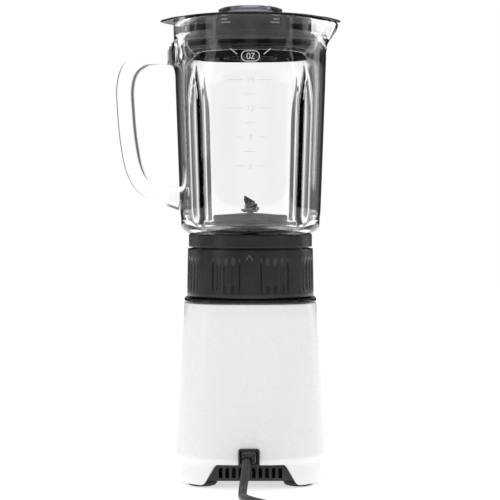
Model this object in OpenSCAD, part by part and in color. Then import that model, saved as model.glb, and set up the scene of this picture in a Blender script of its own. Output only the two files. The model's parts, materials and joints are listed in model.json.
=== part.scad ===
// Countertop blender: motor base, jug assembly with blade unit, lid and mains lead.
// Frame: origin on the upright axis at the level of the table, +Z up, controls towards -Y,
// mains lead towards +Y, jug handle towards +X, spout towards -X. Millimetres.

/* [Base] */
// Half-width of the housing at its widest line
body_half = 67; // [66:0.5:70]
// Half-width of the housing at its top
body_top_half = 56.5; // [56:0.5:58]
// Height of the housing's top face above the table
body_top_z = 152.7; // [150:0.1:156]
// Wall thickness of the housing
body_wall = 3; // [2.5:0.1:3.2]
// Squareness of the housing's plan, 2 is round and more is squarer
body_square = 3; // [2.6:0.1:3.4]
// Height of the gloss trim ring
trim_h = 3.4; // [3:0.1:4]
// Radius of each rubber foot
foot_r = 13; // [11:0.5:13]

/* [Collar and jug band] */
// Height of the ribbed collar's skirt
collar_h = 40; // [38:0.5:42]
// Outer radius of the ribbed collar at its foot
collar_r = 54.5; // [54:0.1:56]
// Height of the smooth band above the collar
band_h = 11.8; // [11:0.1:13]
// Outer radius of the smooth band
band_r = 53.1; // [52.8:0.1:54]

/* [Jug] */
// Half-width of the jug at the shoulder above its foot
jug_low_half = 60.2; // [59:0.1:62]
// Half-width of the jug at its neck
jug_neck_half = 65.3; // [65:0.1:67]
// Height of the jug from foot to rim
jug_h = 181; // [178:0.5:186]
// Wall thickness of the glass
jug_wall = 5; // [4.5:0.1:5.2]
// Reach of the spout past the rim
spout_reach = 11.5; // [8:0.5:14]
// Thickness of the glass handle
handle_t = 13; // [11:0.5:14]

/* [Lid] */
// Radius of the lid's flange
lid_r = 69.2; // [68:0.1:72]
// Depth of the lid's plug below its flange
lid_plug = 27.5; // [26:0.5:29]
// Radius of the filler cap's rim
cap_r = 27.5; // [26:0.5:30]

/* [Controls] */
// Radius of the speed knob
knob_r = 20; // [16:0.5:22]
// Height of the knob's axis above the table
knob_z = 76; // [72:1:80]

/* [Mains lead] */
// Diameter of the mains lead
cord_d = 7; // [6.5:0.1:7.5]
// Middle radius of the inner turns of the coil
coil_inner_r = 34.5; // [34:0.5:36]

/* [Hidden] */

$fn = 64;
eps = 0.02;
mesh_fn = 72;          // points round a lofted ring

// ---- heights, from the table up
lip_z = 3;             // lower edge of the housing
foot_h = 6;
foot_at = [40.5, 36.5];
plate_t = 2;
plate_top = foot_h + plate_t;
waist_z = 26;          // widest line of the housing
flange_z = body_top_z - body_wall;
deck_top = body_top_z + trim_h;
collar_z = deck_top + 0.9;
collar_top = collar_z + collar_h;
band_z = collar_top + 1.2;
jug_z = band_z + band_h;
jug_floor_z = jug_z + 17;
rim_z = jug_z + jug_h;
lid_top_z = rim_z + 2.5;
taper = (body_half - body_top_half) / (body_top_z - waist_z);
face_tilt = atan(taper);
function body_at(z) = body_half - (z - waist_z) * taper;

// ---- motor
shaft_r = 4;
stator_half = [37, 34];
stator_z = 62;
stator_h = 36;
stator_top = stator_z + stator_h;
stator_bore = 21.5;
winding_h = 8;
lower_plate_z = 50;
upper_plate_z = 126;
plate_h = 4;
bearing_r = 11;
bearing_w = 7;
bolt_at = [33, 12];
mount_at = [18, 24];
mount_h = 6;
commutator_z = 108;
commutator_r = 11;
commutator_h = 14;
brush = [5, 6, 8];     // half-widths across and up, then wall line of the holder

// ---- thread between the collar and the band
thread_lead = 18;
thread_starts = 3;
thread_span = 100;
band_neck_r = 49.5;
collar_bore = 51.7;

// ---- blade unit
web_z = 176;
web_t = 4;
hub_r = 4.6;
carrier_r = 35;
carrier_z = jug_z + 5;
ledge_r = 33;
ledge_z = jug_z - 0.5;
plate_seal_z = ledge_z - 1.9;
boss_r = 32.4;
blade_shaft_r = 2.8;
coupling_lobes = 6;

// ---- lid
plug_r = 52;
neck_bore = 58.2;
filler_hole_r = 19;
cup_r = 18.6;

// ---- where the lead runs, then how its coil and tail lie
lead_path = [
  [2.5, 64, 31.5], [2.8, 69, 27.5], [3.4, 74, 22.5], [4.2, 79, 17], [5.2, 85, 11], [6, 92, 6.2],
  [6.3, 100, 3.8], [6, 110, 3.5], [3, 120, 3.5], [-3, 130, 3.5], [-11, 140, 3.5], [-20, 150, 3.5],
  [-29, 160, 3.5], [-37.5, 170, 3.5], [-44.5, 181, 3.5], [-49.5, 193, 3.5], [-52.5, 208, 3.5],
  [-53.5, 226, 3.5]
];
tail_path = [
  [-1.3, 266.1, 10.5], [8.4, 263.5, 10.1], [18, 260.9, 8.9], [27.6, 258.5, 7.8], [37, 256.5, 7],
  [47, 255.4, 7]
];
coil_at = [-12, 226];
plug_at = [46, 255.4, 7];

// ---- colours
white_plastic = [0.91, 0.91, 0.91];
charcoal = [0.2, 0.2, 0.2];
gloss_black = [0.06, 0.06, 0.06];
rubber_black = [0.09, 0.09, 0.09];
steel = [0.72, 0.73, 0.75];
copper = [0.72, 0.4, 0.2];
brass = [0.8, 0.65, 0.35];
glass = [0.85, 0.92, 0.92, 0.4];
silicone = [0.55, 0.55, 0.55];

// ================= shared shapes =================

function clamp01(t) = min(1, max(0, t));
function smooth(t) = let (u = clamp01(t)) u * u * (3 - 2 * u);

// Distance from the axis to a rounded square of half-width a at angle q.
function square_r(a, n, q) = a / pow(pow(abs(cos(q)), n) + pow(abs(sin(q)), n), 1 / n);

function round_square(a, n) = [for (i = [0:mesh_fn - 1])
  let (q = 360 * i / mesh_fn) square_r(a, n, q) * [cos(q), sin(q)]];

// Solid through a stack of rings. closed joins the last ring to the first, for a shell.
module loft(rings, closed = false) {
  count = len(rings);
  per = len(rings[0]);
  steps = closed ? count : count - 1;
  sides = [for (k = [0:steps - 1], i = [0:per - 1])
    let (a = k * per, b = ((k + 1) % count) * per, j = (i + 1) % per) [a + i, b + i, b + j, a + j]];
  caps = closed ? [] : [[for (i = [0:per - 1]) i], [for (i = [per - 1:-1:0]) (count - 1) * per + i]];
  polyhedron([for (ring = rings) each ring], concat(sides, caps), convexity = 6);
}

function at_height(points, z) = [for (p = points) [p[0], p[1], z]];

function unit(v) = v / norm(v);
function path_dir(path, i) = unit(path[min(len(path) - 1, i + 1)] - path[max(0, i - 1)]);

// Ring of a tube round a point of a path.
function tube_ring(path, i, w, h, sides, up) =
  let (d = path_dir(path, i), s = unit(cross(d, up)), u = cross(s, d))
  [for (k = [0:sides - 1]) let (q = 360 * (k + 0.5) / sides) path[i] + s * w * cos(q) + u * h * sin(q)];

module tube(path, w, h, sides, up) {
  loft([for (i = [0:len(path) - 1]) tube_ring(path, i, w, h, sides, up)]);
}

// Smooth curve through points, with steps pieces between each pair.
function spline(p, steps) =
  let (n = len(p) - 1)
  [for (i = [0:n - 1], s = [0:steps - 1]) let (
    t = s / steps, a = p[max(0, i - 1)], b = p[i], c = p[i + 1], d = p[min(n, i + 2)])
    0.5 * (2 * b + (c - a) * t + (2 * a - 5 * b + 4 * c - d) * t * t + (3 * b - a - 3 * c + d) * t * t * t),
   p[n]];

module at_corners(p) {
  for (sx = [-1, 1], sy = [-1, 1]) translate([sx * p[0], sy * p[1], 0]) children();
}

module ring(r_out, r_in, z, h) {
  translate([0, 0, z]) difference() {
    cylinder(r = r_out, h = h);
    translate([0, 0, -1]) cylinder(r = r_in, h = h + 2);
  }
}

module post(r, z0, z1) {
  translate([0, 0, z0]) cylinder(r = r, h = z1 - z0);
}

// ================= base, fixed pieces =================

arch_half = [40, 29.5];
arch_top = 20.7;
relief = [17.3, 13.6];
relief_x = 1.2;
cover_screw_at = [57.5, 12];

module arch_outline() {
  offset(r = 2.5, $fn = 32) offset(r = -5, $fn = 32) offset(delta = 2.5)
    polygon([[-80, -20], [80, -20], [80, lip_z], [arch_half[0], lip_z], [arch_half[1], arch_top],
             [-arch_half[1], arch_top], [-arch_half[0], lip_z], [-80, lip_z]]);
}

function housing_ring(z, a) = at_height(round_square(a, body_square), z);

module housing_shell() {
  low = body_half - 3;
  loft([
    housing_ring(lip_z, low - 2), housing_ring(lip_z + 0.7, low - 0.9), housing_ring(lip_z + 2.2, low - 0.3),
    housing_ring(18, low + 0.2), housing_ring(21.5, low + 0.7), housing_ring(24, low + 2),
    housing_ring(waist_z - 0.6, body_half - 0.2), housing_ring(waist_z + 1, body_at(waist_z + 1)),
    housing_ring(body_top_z - 1, body_at(body_top_z - 1)), housing_ring(body_top_z, body_top_half - 0.6),
    housing_ring(body_top_z, 44), housing_ring(flange_z, 44),
    housing_ring(flange_z, body_at(flange_z) - body_wall), housing_ring(waist_z + 1, body_half - body_wall),
    housing_ring(20, low - body_wall), housing_ring(lip_z + 2.2, low - body_wall),
    housing_ring(lip_z, low - body_wall - 0.5)
  ], closed = true);
}

module knob_frame() {
  translate([0, -body_at(knob_z), knob_z]) rotate([90 - face_tilt, 0, 0]) children();
}

module at_deck_screws() {
  for (q = [45:90:315]) rotate([0, 0, q]) translate([52, 0, 0]) children();
}

module housing() {
  color(white_plastic) difference() {
    union() {
      housing_shell();
      at_corners(cover_screw_at) post(4.5, plate_top, 30);
    }
    translate([0, 80, 0]) rotate([90, 0, 0]) linear_extrude(40)
      intersection() {
        arch_outline();
        translate([-60, -5]) square([120, 40]);
      }
    translate([relief_x - relief[0] / 2, 50, arch_top - 1]) cube([relief[0], 30, relief[1] + 1.3]);
    knob_frame() translate([0, 0, -10]) cylinder(r = 5, h = 20);
    at_corners(cover_screw_at) post(1.5, plate_top - 1, 22);
    at_deck_screws() post(1.5, flange_z - 1, body_top_z + 1);
  }
}

vent_y = 51.5;
vent_t = 2.5;
vent_half = 41;
vent_top = 24;
vent_count = 10;
vent_pitch = 5.5;
vent_w = 3.1;
vent_slot_h = 7;
board_x = 47;

module vent_slot() {
  translate([-vent_w / 2, plate_top + 0.4]) square([vent_w, vent_slot_h]);
  translate([0, plate_top + 0.4 + vent_slot_h]) circle(r = vent_w / 2);
}

module bottom_cover() {
  color(charcoal) difference() {
    union() {
      translate([0, 0, foot_h]) linear_extrude(plate_t) difference() {
        polygon(round_square(body_half - 6.2, body_square));
        translate([-vent_half, vent_y + vent_t]) square([2 * vent_half, 20]);
      }
      translate([-vent_half, vent_y, foot_h]) cube([2 * vent_half, vent_t, vent_top - foot_h]);
      for (sy = [-1, 1]) translate([board_x - 3, sy * 23 - 3, plate_top - eps]) cube([6, 6, 20]);
    }
    for (i = [0:vent_count - 1]) translate([(i - (vent_count - 1) / 2) * vent_pitch, vent_y + 10, 0])
      rotate([90, 0, 0]) linear_extrude(20) vent_slot();
    for (q = [0:30:330]) rotate([0, 0, q]) translate([14, -1.5, foot_h - 1]) cube([14, 3, plate_t + 2]);
    at_corners(foot_at) post(3, foot_h - 1, plate_top + 1);
    at_corners(cover_screw_at) post(1.8, foot_h - 1, plate_top + 1);
    translate([board_x - 0.9, -25.1, plate_top + 1]) cube([1.8, 50.2, 30]);
  }
}

// A rubber foot with a neck through the plate and a barb above it.
module feet() {
  color(rubber_black) at_corners(foot_at) rotate_extrude() polygon([
    [0, 0], [foot_r - 3.4, 0], [foot_r - 1.4, 0.7], [foot_r - 0.3, 2.2], [foot_r, 4], [foot_r, foot_h],
    [3, foot_h], [3, plate_top], [4, plate_top], [2.4, plate_top + 2.2], [0, plate_top + 2.2]]);
}

module cover_screws() {
  color(steel) at_corners(cover_screw_at) difference() {
    union() {
      post(3.4, foot_h - 2, foot_h);
      post(1.5, foot_h - 1, 20);
    }
    for (q = [0, 90]) rotate([0, 0, q]) translate([-2, -0.4, foot_h - 3]) cube([4, 0.8, 1.9]);
  }
}

module trim_ring() {
  color(gloss_black) translate([0, 0, body_top_z]) difference() {
    union() {
      linear_extrude(trim_h - 0.7) polygon(round_square(body_top_half + 0.2, body_square));
      translate([0, 0, trim_h - 0.7 - eps]) linear_extrude(0.7)
        polygon(round_square(body_top_half - 0.5, body_square));
    }
    translate([0, 0, -1]) linear_extrude(trim_h + 2) polygon(round_square(50, body_square));
  }
}

pin_x = 34;
pin_r = 2.5;
well_r = 7;

module top_deck() {
  color(charcoal) difference() {
    union() {
      translate([0, 0, body_top_z]) linear_extrude(trim_h) polygon(round_square(49.9, body_square));
      ring(42.6, 40, deck_top - 1, 6);
      at_corners(mount_at) post(5, upper_plate_z + plate_h + mount_h, body_top_z + eps);
      for (x = [21.8, 41.8]) translate([x, -5, 132]) cube([2, 10, body_top_z + eps - 132]);
    }
    post(well_r, body_top_z - 1, deck_top + 1);
    translate([pin_x, 0, 0]) post(pin_r + 0.06, body_top_z - 1, deck_top + 1);
    at_deck_screws() union() {
      post(1.6, body_top_z - 1, deck_top + 1);
      post(3.1, deck_top - 1.6, deck_top + 1);
    }
  }
}

module deck_screws() {
  color(steel) at_deck_screws() difference() {
    union() {
      post(3, deck_top - 1.6, deck_top - 0.1);
      post(1.5, flange_z - 2, deck_top - 1);
    }
    for (q = [0, 90]) rotate([0, 0, q]) translate([-1.8, -0.35, deck_top - 0.9]) cube([3.6, 0.7, 2]);
  }
}

slot_low = [22, 22];
slot_size = [7, 6];

module stator_core() {
  color([0.45, 0.46, 0.48]) translate([0, 0, stator_z]) linear_extrude(stator_h) difference() {
    hull() at_corners(stator_half - [5, 5]) circle(r = 5, $fn = 32);
    circle(r = stator_bore);
    for (sx = [-1, 1], sy = [-1, 1])
      translate([sx * (slot_low[0] + slot_size[0] / 2), sy * (slot_low[1] + slot_size[1] / 2)])
        square(slot_size, center = true);
    at_corners(bolt_at) circle(r = 2.1, $fn = 24);
  }
}

// Each coil goes round a pole, with its sides in the core's slots.
module field_coils() {
  side = slot_size[0] - 0.4;
  color(copper) for (sy = [-1, 1])
    translate([0, sy * (slot_low[1] + slot_size[1] / 2), stator_z + stator_h / 2]) rotate([90, 0, 0])
      linear_extrude(slot_size[1] - 0.4, center = true) difference() {
        hull() at_corners([slot_low[0] + 0.2, stator_h / 2 + 0.1])
          circle(r = side, $fn = 32);
        square([2 * slot_low[0] + 0.4, stator_h + 0.2], center = true);
      }
}

module bracket_plate(z) {
  translate([0, 0, z]) linear_extrude(plate_h) difference() {
    hull() at_corners(stator_half - [5, 5]) circle(r = 5, $fn = 32);
    circle(r = bearing_r);
    at_corners(bolt_at) circle(r = 2.1, $fn = 24);
    for (sy = [-1, 1]) translate([0, sy * 18.5]) square([18, 5], center = true);
  }
}

module bracket_legs(z0, z1) {
  at_corners(bolt_at) difference() {
    post(3.8, z0, z1);
    post(2.1, z0 - 1, z1 + 1);
  }
}

module upper_bracket() {
  color(steel) union() {
    bracket_plate(upper_plate_z);
    ring(bearing_r + 3, bearing_r, upper_plate_z - 3, plate_h + 4);
    bracket_legs(stator_top, upper_plate_z + eps);
  }
}

module lower_bracket() {
  color(steel) union() {
    bracket_plate(lower_plate_z);
    ring(bearing_r + 3, bearing_r, lower_plate_z - 3, bearing_w);
    bracket_legs(lower_plate_z + plate_h - eps, stator_z);
  }
}

// Ball bearing: two races with a ring of balls between them.
module bearing(z) {
  color(steel) union() {
    ring(bearing_r, 8.8, z, bearing_w);
    ring(6.2, shaft_r, z, bearing_w);
    ring(8.9, 6.1, z + 2.2, bearing_w - 4.4);
    for (q = [0:45:315]) rotate([0, 0, q]) translate([7.5, 0, z + bearing_w / 2]) sphere(r = 1.9, $fn = 24);
  }
}

module upper_bearing() { bearing(upper_plate_z - 3); }
module lower_bearing() { bearing(lower_plate_z - 3); }

module motor_bolts() {
  color(steel) at_corners(bolt_at) union() {
    post(2, lower_plate_z - eps, upper_plate_z + plate_h + 3.6);
    translate([0, 0, lower_plate_z - 2.6]) cylinder(r = 3.8, h = 2.6, $fn = 6);
    translate([0, 0, upper_plate_z + plate_h]) cylinder(r = 3.8, h = 2.4, $fn = 6);
  }
}

module rubber_mounts() {
  z = upper_plate_z + plate_h;
  color(rubber_black) at_corners(mount_at) rotate_extrude() polygon([
    [0, z], [5.6, z], [5.6, z + 1.6], [4.6, z + 3], [5.6, z + 4.4], [5.6, z + mount_h], [0, z + mount_h]]);
}

brush_z = commutator_z + commutator_h / 2;
holder_x = [14, 31];

module brush_holders() {
  color(brass) for (s = [0, 180]) rotate([0, 0, s]) difference() {
    union() {
      translate([holder_x[0], -brush[0], brush_z - brush[1]])
        cube([holder_x[1] - holder_x[0], 2 * brush[0], 2 * brush[1]]);
      translate([holder_x[1] - 3, -brush[0], brush_z]) cube([2, 2 * brush[0], upper_plate_z - brush_z]);
    }
    translate([holder_x[0] - 1, -brush[0] + 1, brush_z - brush[1] + 1])
      cube([holder_x[1] - holder_x[0] - 1, 2 * brush[0] - 2, 2 * brush[1] - 2]);
  }
}

module carbon_brushes() {
  color([0.15, 0.15, 0.16]) for (s = [0, 180]) rotate([0, 0, s]) difference() {
    translate([commutator_r - 1, -brush[0] + 1, brush_z - brush[1] + 1])
      cube([15, 2 * brush[0] - 2, 2 * brush[1] - 2]);
    post(commutator_r + 0.05, commutator_z - 1, commutator_z + commutator_h + 1);
  }
}

module speed_switch() {
  color([0.12, 0.12, 0.13]) knob_frame() difference() {
    union() {
      translate([-13, -13, -22]) cube([26, 26, 14]);
      translate([0, 0, -8 - eps]) cylinder(r = 4.8, h = 5);
      for (x = [-8, 0, 8]) translate([x - 2, -16, -20]) cube([4, 4, 0.8]);
    }
    translate([0, 0, -20]) cylinder(r = 3.06, h = 30);
  }
}

module control_board() {
  color([0.1, 0.35, 0.2]) translate([board_x - 0.8, -25, plate_top + 1]) cube([1.6, 50, 60]);
  color([0.2, 0.3, 0.6]) translate([board_x - 9.8, -18, 46]) cube([9, 16, 14]);
  color([0.5, 0.5, 0.5]) translate([board_x - 0.8, 10, 52]) rotate([0, -90, 0]) cylinder(r = 5, h = 9);
}

module interlock_switch() {
  color([0.15, 0.15, 0.17]) union() {
    translate([23.8, -5, 132]) cube([18, 10, 7]);
    translate([pin_x - 1.5, -1.5, 139 - eps]) cube([3, 3, 0.5]);
  }
}

// Block that clamps the lead, with a hood that sends it downwards.
module strain_relief() {
  z0 = arch_top + 0.3;
  y_face = 69;
  color(gloss_black) difference() {
    union() {
      translate([relief_x, y_face, z0 + relief[1] / 2]) rotate([90, 0, 0]) linear_extrude(14)
        hull() at_corners([relief[0] / 2 - 2.2, relief[1] / 2 - 2.2]) circle(r = 2.2, $fn = 32);
      translate([relief_x, y_face + 5.5, z0 + 7.6]) rotate([90, 0, 0]) linear_extrude(6)
        hull() at_corners([4.2, 2.6]) circle(r = 2.4, $fn = 32);
    }
    hull() {
      translate([3, y_face - 2, z0 + 8]) rotate([90, 0, 0]) cylinder(r = 3.6, h = 0.1, $fn = 32);
      translate([3.1, y_face + 5, z0 + 2]) rotate([90, 0, 0]) cylinder(r = 4, h = 2, $fn = 32);
      translate([3.1, y_face + 1, z0 + 2]) rotate([90, 0, 0]) cylinder(r = 4, h = 1, $fn = 32);
    }
  }
}

// ================= mains lead =================

turn_pitch = cord_d;
coil_outer_r = coil_inner_r + turn_pitch;

module cord_lead() {
  color(rubber_black) tube(lead_path, cord_d / 2, cord_d / 2, 8, [0.3, 0.1, 1]);
}

module cord_tail() {
  color(rubber_black) tube(tail_path, cord_d / 2, cord_d / 2, 8, [0, 0, 1]);
}

tie_angle = 100;

module tie_place() {
  translate([coil_at[0], coil_at[1], 0]) rotate([0, 0, tie_angle]) translate([coil_inner_r - cord_d / 2, 0, 0])
    children();
}

module cord_coil() {
  color(rubber_black) difference() {
    translate([coil_at[0], coil_at[1], 0]) rotate_extrude() translate([coil_inner_r - cord_d / 2, 0])
      square([turn_pitch + cord_d, 2 * cord_d]);
    tie_place() difference() {
      translate([-1, -2, -1]) cube([turn_pitch + cord_d + 2, 4, 2 * cord_d + 2]);
      translate([0.8, -3, 0.8]) cube([turn_pitch + cord_d - 1.6, 6, 2 * cord_d - 1.6]);
    }
  }
}

module cord_tie() {
  wide = turn_pitch + cord_d;
  color([0.1, 0.1, 0.1]) tie_place() difference() {
    union() {
      translate([0, -2, 0]) cube([wide, 4, 2 * cord_d]);
      translate([wide / 2 - 2.5, -2.6, 2 * cord_d]) cube([5, 5.2, 1.4]);
    }
    translate([0.8, -3, 0.8]) cube([wide - 1.6, 6, 2 * cord_d - 1.6]);
  }
}

plug_len = 34;
plug_half = [13, 7];
pin_gap = 18.6;

module plug_body() {
  color(rubber_black) translate(plug_at) union() {
    rotate([0, 90, 0]) cylinder(r1 = 4.4, r2 = 6, h = 14, $fn = 32);
    translate([12, 0, 0]) rotate([90, 0, 90]) linear_extrude(plug_len - 12)
      hull() at_corners(plug_half - [5, 5]) circle(r = 5, $fn = 32);
  }
}

module plug_pins() {
  color(brass) translate(plug_at) for (s = [-1, 1]) translate([plug_len, s * pin_gap / 2, 0])
    rotate([0, 90, 0]) rotate_extrude() polygon([[0, 0], [2, 0], [2, 17.8], [1, 19], [0, 19]]);
}

// ================= rotor =================

module motor_shaft() {
  color(steel) union() {
    post(shaft_r, 22, deck_top + 9);
    post(shaft_r - 0.6, 20, 22 + eps);
  }
}

slot_count = 12;
core_r = 20.8;

module at_slots() {
  for (i = [0:slot_count - 1]) rotate([0, 0, 360 * i / slot_count]) children();
}

module armature_core() {
  color([0.5, 0.5, 0.52]) translate([0, 0, stator_z]) linear_extrude(stator_h) difference() {
    circle(r = core_r);
    circle(r = shaft_r);
    at_slots() translate([14, -1.6]) square([5, 3.2]);
    at_slots() translate([18, -0.7]) square([5, 1.4]);
  }
}

module armature_windings() {
  color(copper) union() {
    ring(19.2, 8, stator_z - winding_h, winding_h);
    ring(19.2, 8, stator_top, winding_h);
    at_slots() translate([14.1, -1.5, stator_z - eps]) cube([4.8, 3, stator_h + 2 * eps]);
  }
}

module commutator() {
  color(copper) difference() {
    ring(commutator_r, shaft_r, commutator_z, commutator_h);
    at_slots() translate([commutator_r - 1.2, -0.3, commutator_z - 1]) cube([3, 0.6, commutator_h - 2]);
  }
}

fan_r = 33;
fan_z = 26;
fan_blades = 9;

module cooling_fan() {
  color([0.85, 0.85, 0.82]) difference() {
    union() {
      post(fan_r, fan_z, fan_z + 1.6);
      post(8, fan_z, fan_z + 14);
      for (i = [0:fan_blades - 1]) rotate([0, 0, 360 * i / fan_blades]) translate([7, -4, fan_z])
        rotate([0, 0, 14]) cube([25, 1.4, 11]);
    }
    post(shaft_r, fan_z - 1, fan_z + 20);
  }
}

function star(r0, r1, grow) = [for (i = [0:4 * coupling_lobes - 1])
  let (q = 360 * (i - 0.5) / (4 * coupling_lobes), r = (i % 4 < 2 ? r1 : r0) + grow)
  r * [cos(q), sin(q)]];

module drive_coupling() {
  z = deck_top + 1;
  color([0.3, 0.3, 0.32]) difference() {
    union() {
      post(12, z, z + 3);
      translate([0, 0, z + 3 - eps]) linear_extrude(8) polygon(star(6.6, 9, 0));
    }
    post(shaft_r, z - 1, deck_top + 9);
  }
}

// ================= knob and interlock =================

knob_gap = 0.6;

module knob() {
  color(gloss_black) knob_frame() difference() {
    union() {
      translate([0, 0, knob_gap]) cylinder(r = knob_r, h = 4);
      translate([0, 0, knob_gap + 4 - eps]) cylinder(r1 = knob_r - 2, r2 = knob_r - 3.5, h = 11);
      translate([-3, -knob_r + 1.6, knob_gap + 4]) cube([6, 2 * knob_r - 3.2, 13]);
    }
    cylinder(r = 3, h = 12);
  }
}

module knob_spindle() {
  color(steel) knob_frame() translate([0, 0, -19]) cylinder(r = 3, h = 31);
}

pin_top = deck_top + 2.4;

module interlock_pin() {
  color([0.8, 0.1, 0.1]) translate([pin_x, 0, 0]) union() {
    post(pin_r, 142.6, pin_top - 0.8);
    translate([0, 0, pin_top - 0.8 - eps]) cylinder(r1 = pin_r, r2 = 1.6, h = 0.8);
    post(4.4, 146, 147.4);
  }
}

spring_r = 3.4;
spring_wire = 0.35;
spring_turns = 4;
spring_z = [139, 146];

module interlock_spring() {
  steps = spring_turns * 12;
  rise = spring_z[1] - spring_z[0] - 2 * spring_wire;
  coil = [for (i = [0:steps]) let (q = 30 * i)
    [spring_r * cos(q), spring_r * sin(q), spring_z[0] + spring_wire + rise * i / steps]];
  color(steel) translate([pin_x, 0, 0]) tube(coil, spring_wire, spring_wire, 6, [0, 0, 1]);
}

// ================= blade unit =================

// Ridge that climbs with the thread, from its root radius to its crest radius.
module thread_ridge(root, crest, z, t) {
  steps = 20;
  side = crest > root ? -1 : 1;
  section = [[root, -0.75], [crest, -0.4], [crest, 0.4], [root, 0.75]];
  loft([for (i = [0:steps]) let (q = thread_span * i / steps, h = z + thread_lead * q / 360)
    [for (p = section) [p[0] * cos(q), p[0] * sin(q), h + side * t * p[1]]]]);
}

module at_starts(q0) {
  for (i = [0:thread_starts - 1]) rotate([0, 0, q0 + 360 * i / thread_starts]) children();
}

male_z = 188.6;
female_z = 191.4;

module collar_skin() {
  rotate_extrude() polygon([
    [collar_bore, web_z], [collar_r - 3, collar_z + 1], [collar_r - 3, collar_z], [collar_r, collar_z],
    [collar_r - 0.8, collar_top - 1], [collar_r - 1.6, collar_top], [collar_bore, collar_top]]);
}

module locking_collar() {
  color(charcoal) difference() {
    union() {
      collar_skin();
      ring(collar_bore + 0.5, 12.6, web_z, web_t);
      ring(48, 44, deck_top, web_z - deck_top + eps);
      translate([pin_x, 0, 0]) post(3, pin_top + 0.1, web_z + eps);
      at_starts(10) thread_ridge(collar_bore + 0.6, 50, female_z, 1.9);
    }
    for (g = [0:15:345]) rotate([0, 0, g]) translate([28, 0, 0]) post(1.4, web_z - 1, web_z + web_t + 1);
  }
}

// Plate that closes the jug's foot from below, and a boss above it on a slim hub.
module blade_carrier() {
  seat_z = web_z + web_t;
  color(gloss_black) difference() {
    rotate_extrude() polygon([
      [0, web_z - 1], [12.4, web_z - 1], [12.4, seat_z], [22, seat_z], [22, seat_z + 2.5], [11, seat_z + 3.5],
      [10, plate_seal_z - 7], [carrier_r, plate_seal_z - 4], [carrier_r, plate_seal_z], [hub_r, plate_seal_z],
      [hub_r, jug_z + 2.5], [7.5, carrier_z - 0.3], [boss_r - 3, carrier_z], [boss_r, carrier_z + 1.2],
      [boss_r, jug_floor_z - 1.2], [boss_r - 1.4, jug_floor_z], [9, jug_floor_z + 1.4], [0, jug_floor_z + 1.4]]);
    post(blade_shaft_r + 0.4, web_z - 2, jug_floor_z + 3);
    post(3.9, web_z - 2, web_z + 13);
    post(4.1, jug_floor_z - 13, jug_floor_z + 3);
  }
}

// Two bronze bushes, one at each end of the hub.
module shaft_bushes() {
  color(brass) union() {
    ring(3.9, blade_shaft_r + 0.05, web_z, 12);
    ring(4.1, blade_shaft_r + 0.05, jug_floor_z - 13, 9);
  }
}

module shaft_seal() {
  color(rubber_black) ring(4.1, blade_shaft_r + 0.08, jug_floor_z - 3.9, 4);
}

// ================= blades =================

blade_z = jug_floor_z + 2;

module blade_shaft() {
  color(steel) union() {
    post(blade_shaft_r, deck_top + 13, blade_z + eps);
    post(2.2, blade_z, blade_z + 8);
  }
}

// One arm of a blade: a flat root, then a swept tip bent by tilt.
module blade_arm(reach, wide, tilt) {
  translate([6, 0, 0]) rotate([0, -tilt, 0]) difference() {
    linear_extrude(1.3) polygon([[-3, -wide / 2], [reach * 0.55, -wide / 2], [reach, wide * 0.55],
                                 [reach * 0.72, wide * 0.62], [reach * 0.45, wide / 2], [-3, wide / 2]]);
    translate([2, -wide / 2, 1.3]) rotate([-62, 0, 0]) translate([0, -4, -2]) cube([reach + 3, 4, 4]);
  }
}

module blade_pair(z, reach, wide, tilt_a, tilt_b, q) {
  color([0.75, 0.76, 0.78]) translate([0, 0, z]) rotate([0, 0, q]) difference() {
    union() {
      cylinder(r = 5.9, h = 1.3);
      blade_arm(reach, wide, tilt_a);
      rotate([0, 0, 180]) blade_arm(reach, wide, tilt_b);
    }
    translate([0, 0, -1]) cylinder(r = 2.2, h = 4);
    translate([0, 0, -8]) cylinder(r = 30, h = 8);
  }
}

module lower_blade() { blade_pair(blade_z, 20, 9, 6, 14, 78); }
module upper_blade() { blade_pair(blade_z + 1.3, 16, 8.6, 18, 50, 92); }

module blade_nut() {
  color(steel) translate([0, 0, blade_z + 2.6]) difference() {
    union() {
      cylinder(r = 5.2, h = 3, $fn = 6);
      translate([0, 0, 3 - eps]) cylinder(r1 = 4.4, r2 = 3, h = 2);
    }
    translate([0, 0, -1]) cylinder(r = 2.2, h = 9);
  }
}

module driven_coupling() {
  z = deck_top + 4.4;
  color([0.3, 0.3, 0.32]) difference() {
    post(11.8, z, web_z - 1.6);
    translate([0, 0, z - 1]) linear_extrude(9.6) polygon(star(6.6, 9, 0.5));
    post(blade_shaft_r, deck_top + 12, web_z);
  }
}

// ================= jug =================

module gasket() {
  color(silicone) ring(carrier_r - 0.2, ledge_r, plate_seal_z, ledge_z - plate_seal_z);
}

module jug_band() {
  color(charcoal) union() {
    rotate_extrude() polygon([
      [46.4, band_z - 13], [band_neck_r, band_z - 13], [band_neck_r, band_z], [band_r - 0.5, band_z],
      [band_r, band_z + 0.6], [band_r, jug_z - 0.8], [band_r - 0.8, jug_z], [46.4, jug_z]]);
    at_starts(10) thread_ridge(band_neck_r - 1.3, 51.1, male_z, 1.9);
  }
}

// Half-width of the glass, outside, by height above the foot.
function jug_half(h) = h < 22 ? jug_low_half - 0.9 + 0.9 * smooth((h - 12) / 10)
                              : jug_low_half + (jug_neck_half - 0.3 - jug_low_half) * clamp01((h - 22) / 128);
neck_h = 158;
function squareness(h) = 2.6 - 0.6 * smooth((h - 120) / 36);

// Peak added to a ring towards angle q0, like a tangent drawn from the ring to a point.
function peak(q, q0, reach, r) =
  let (f = acos(r / (r + reach)), d = abs((q - q0 + 540) % 360 - 180))
  reach <= 0 || d >= f ? 1 : 1 / cos(f - d);

function lip(h) = clamp01((h - neck_h) / (jug_h - 2 - neck_h));

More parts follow.
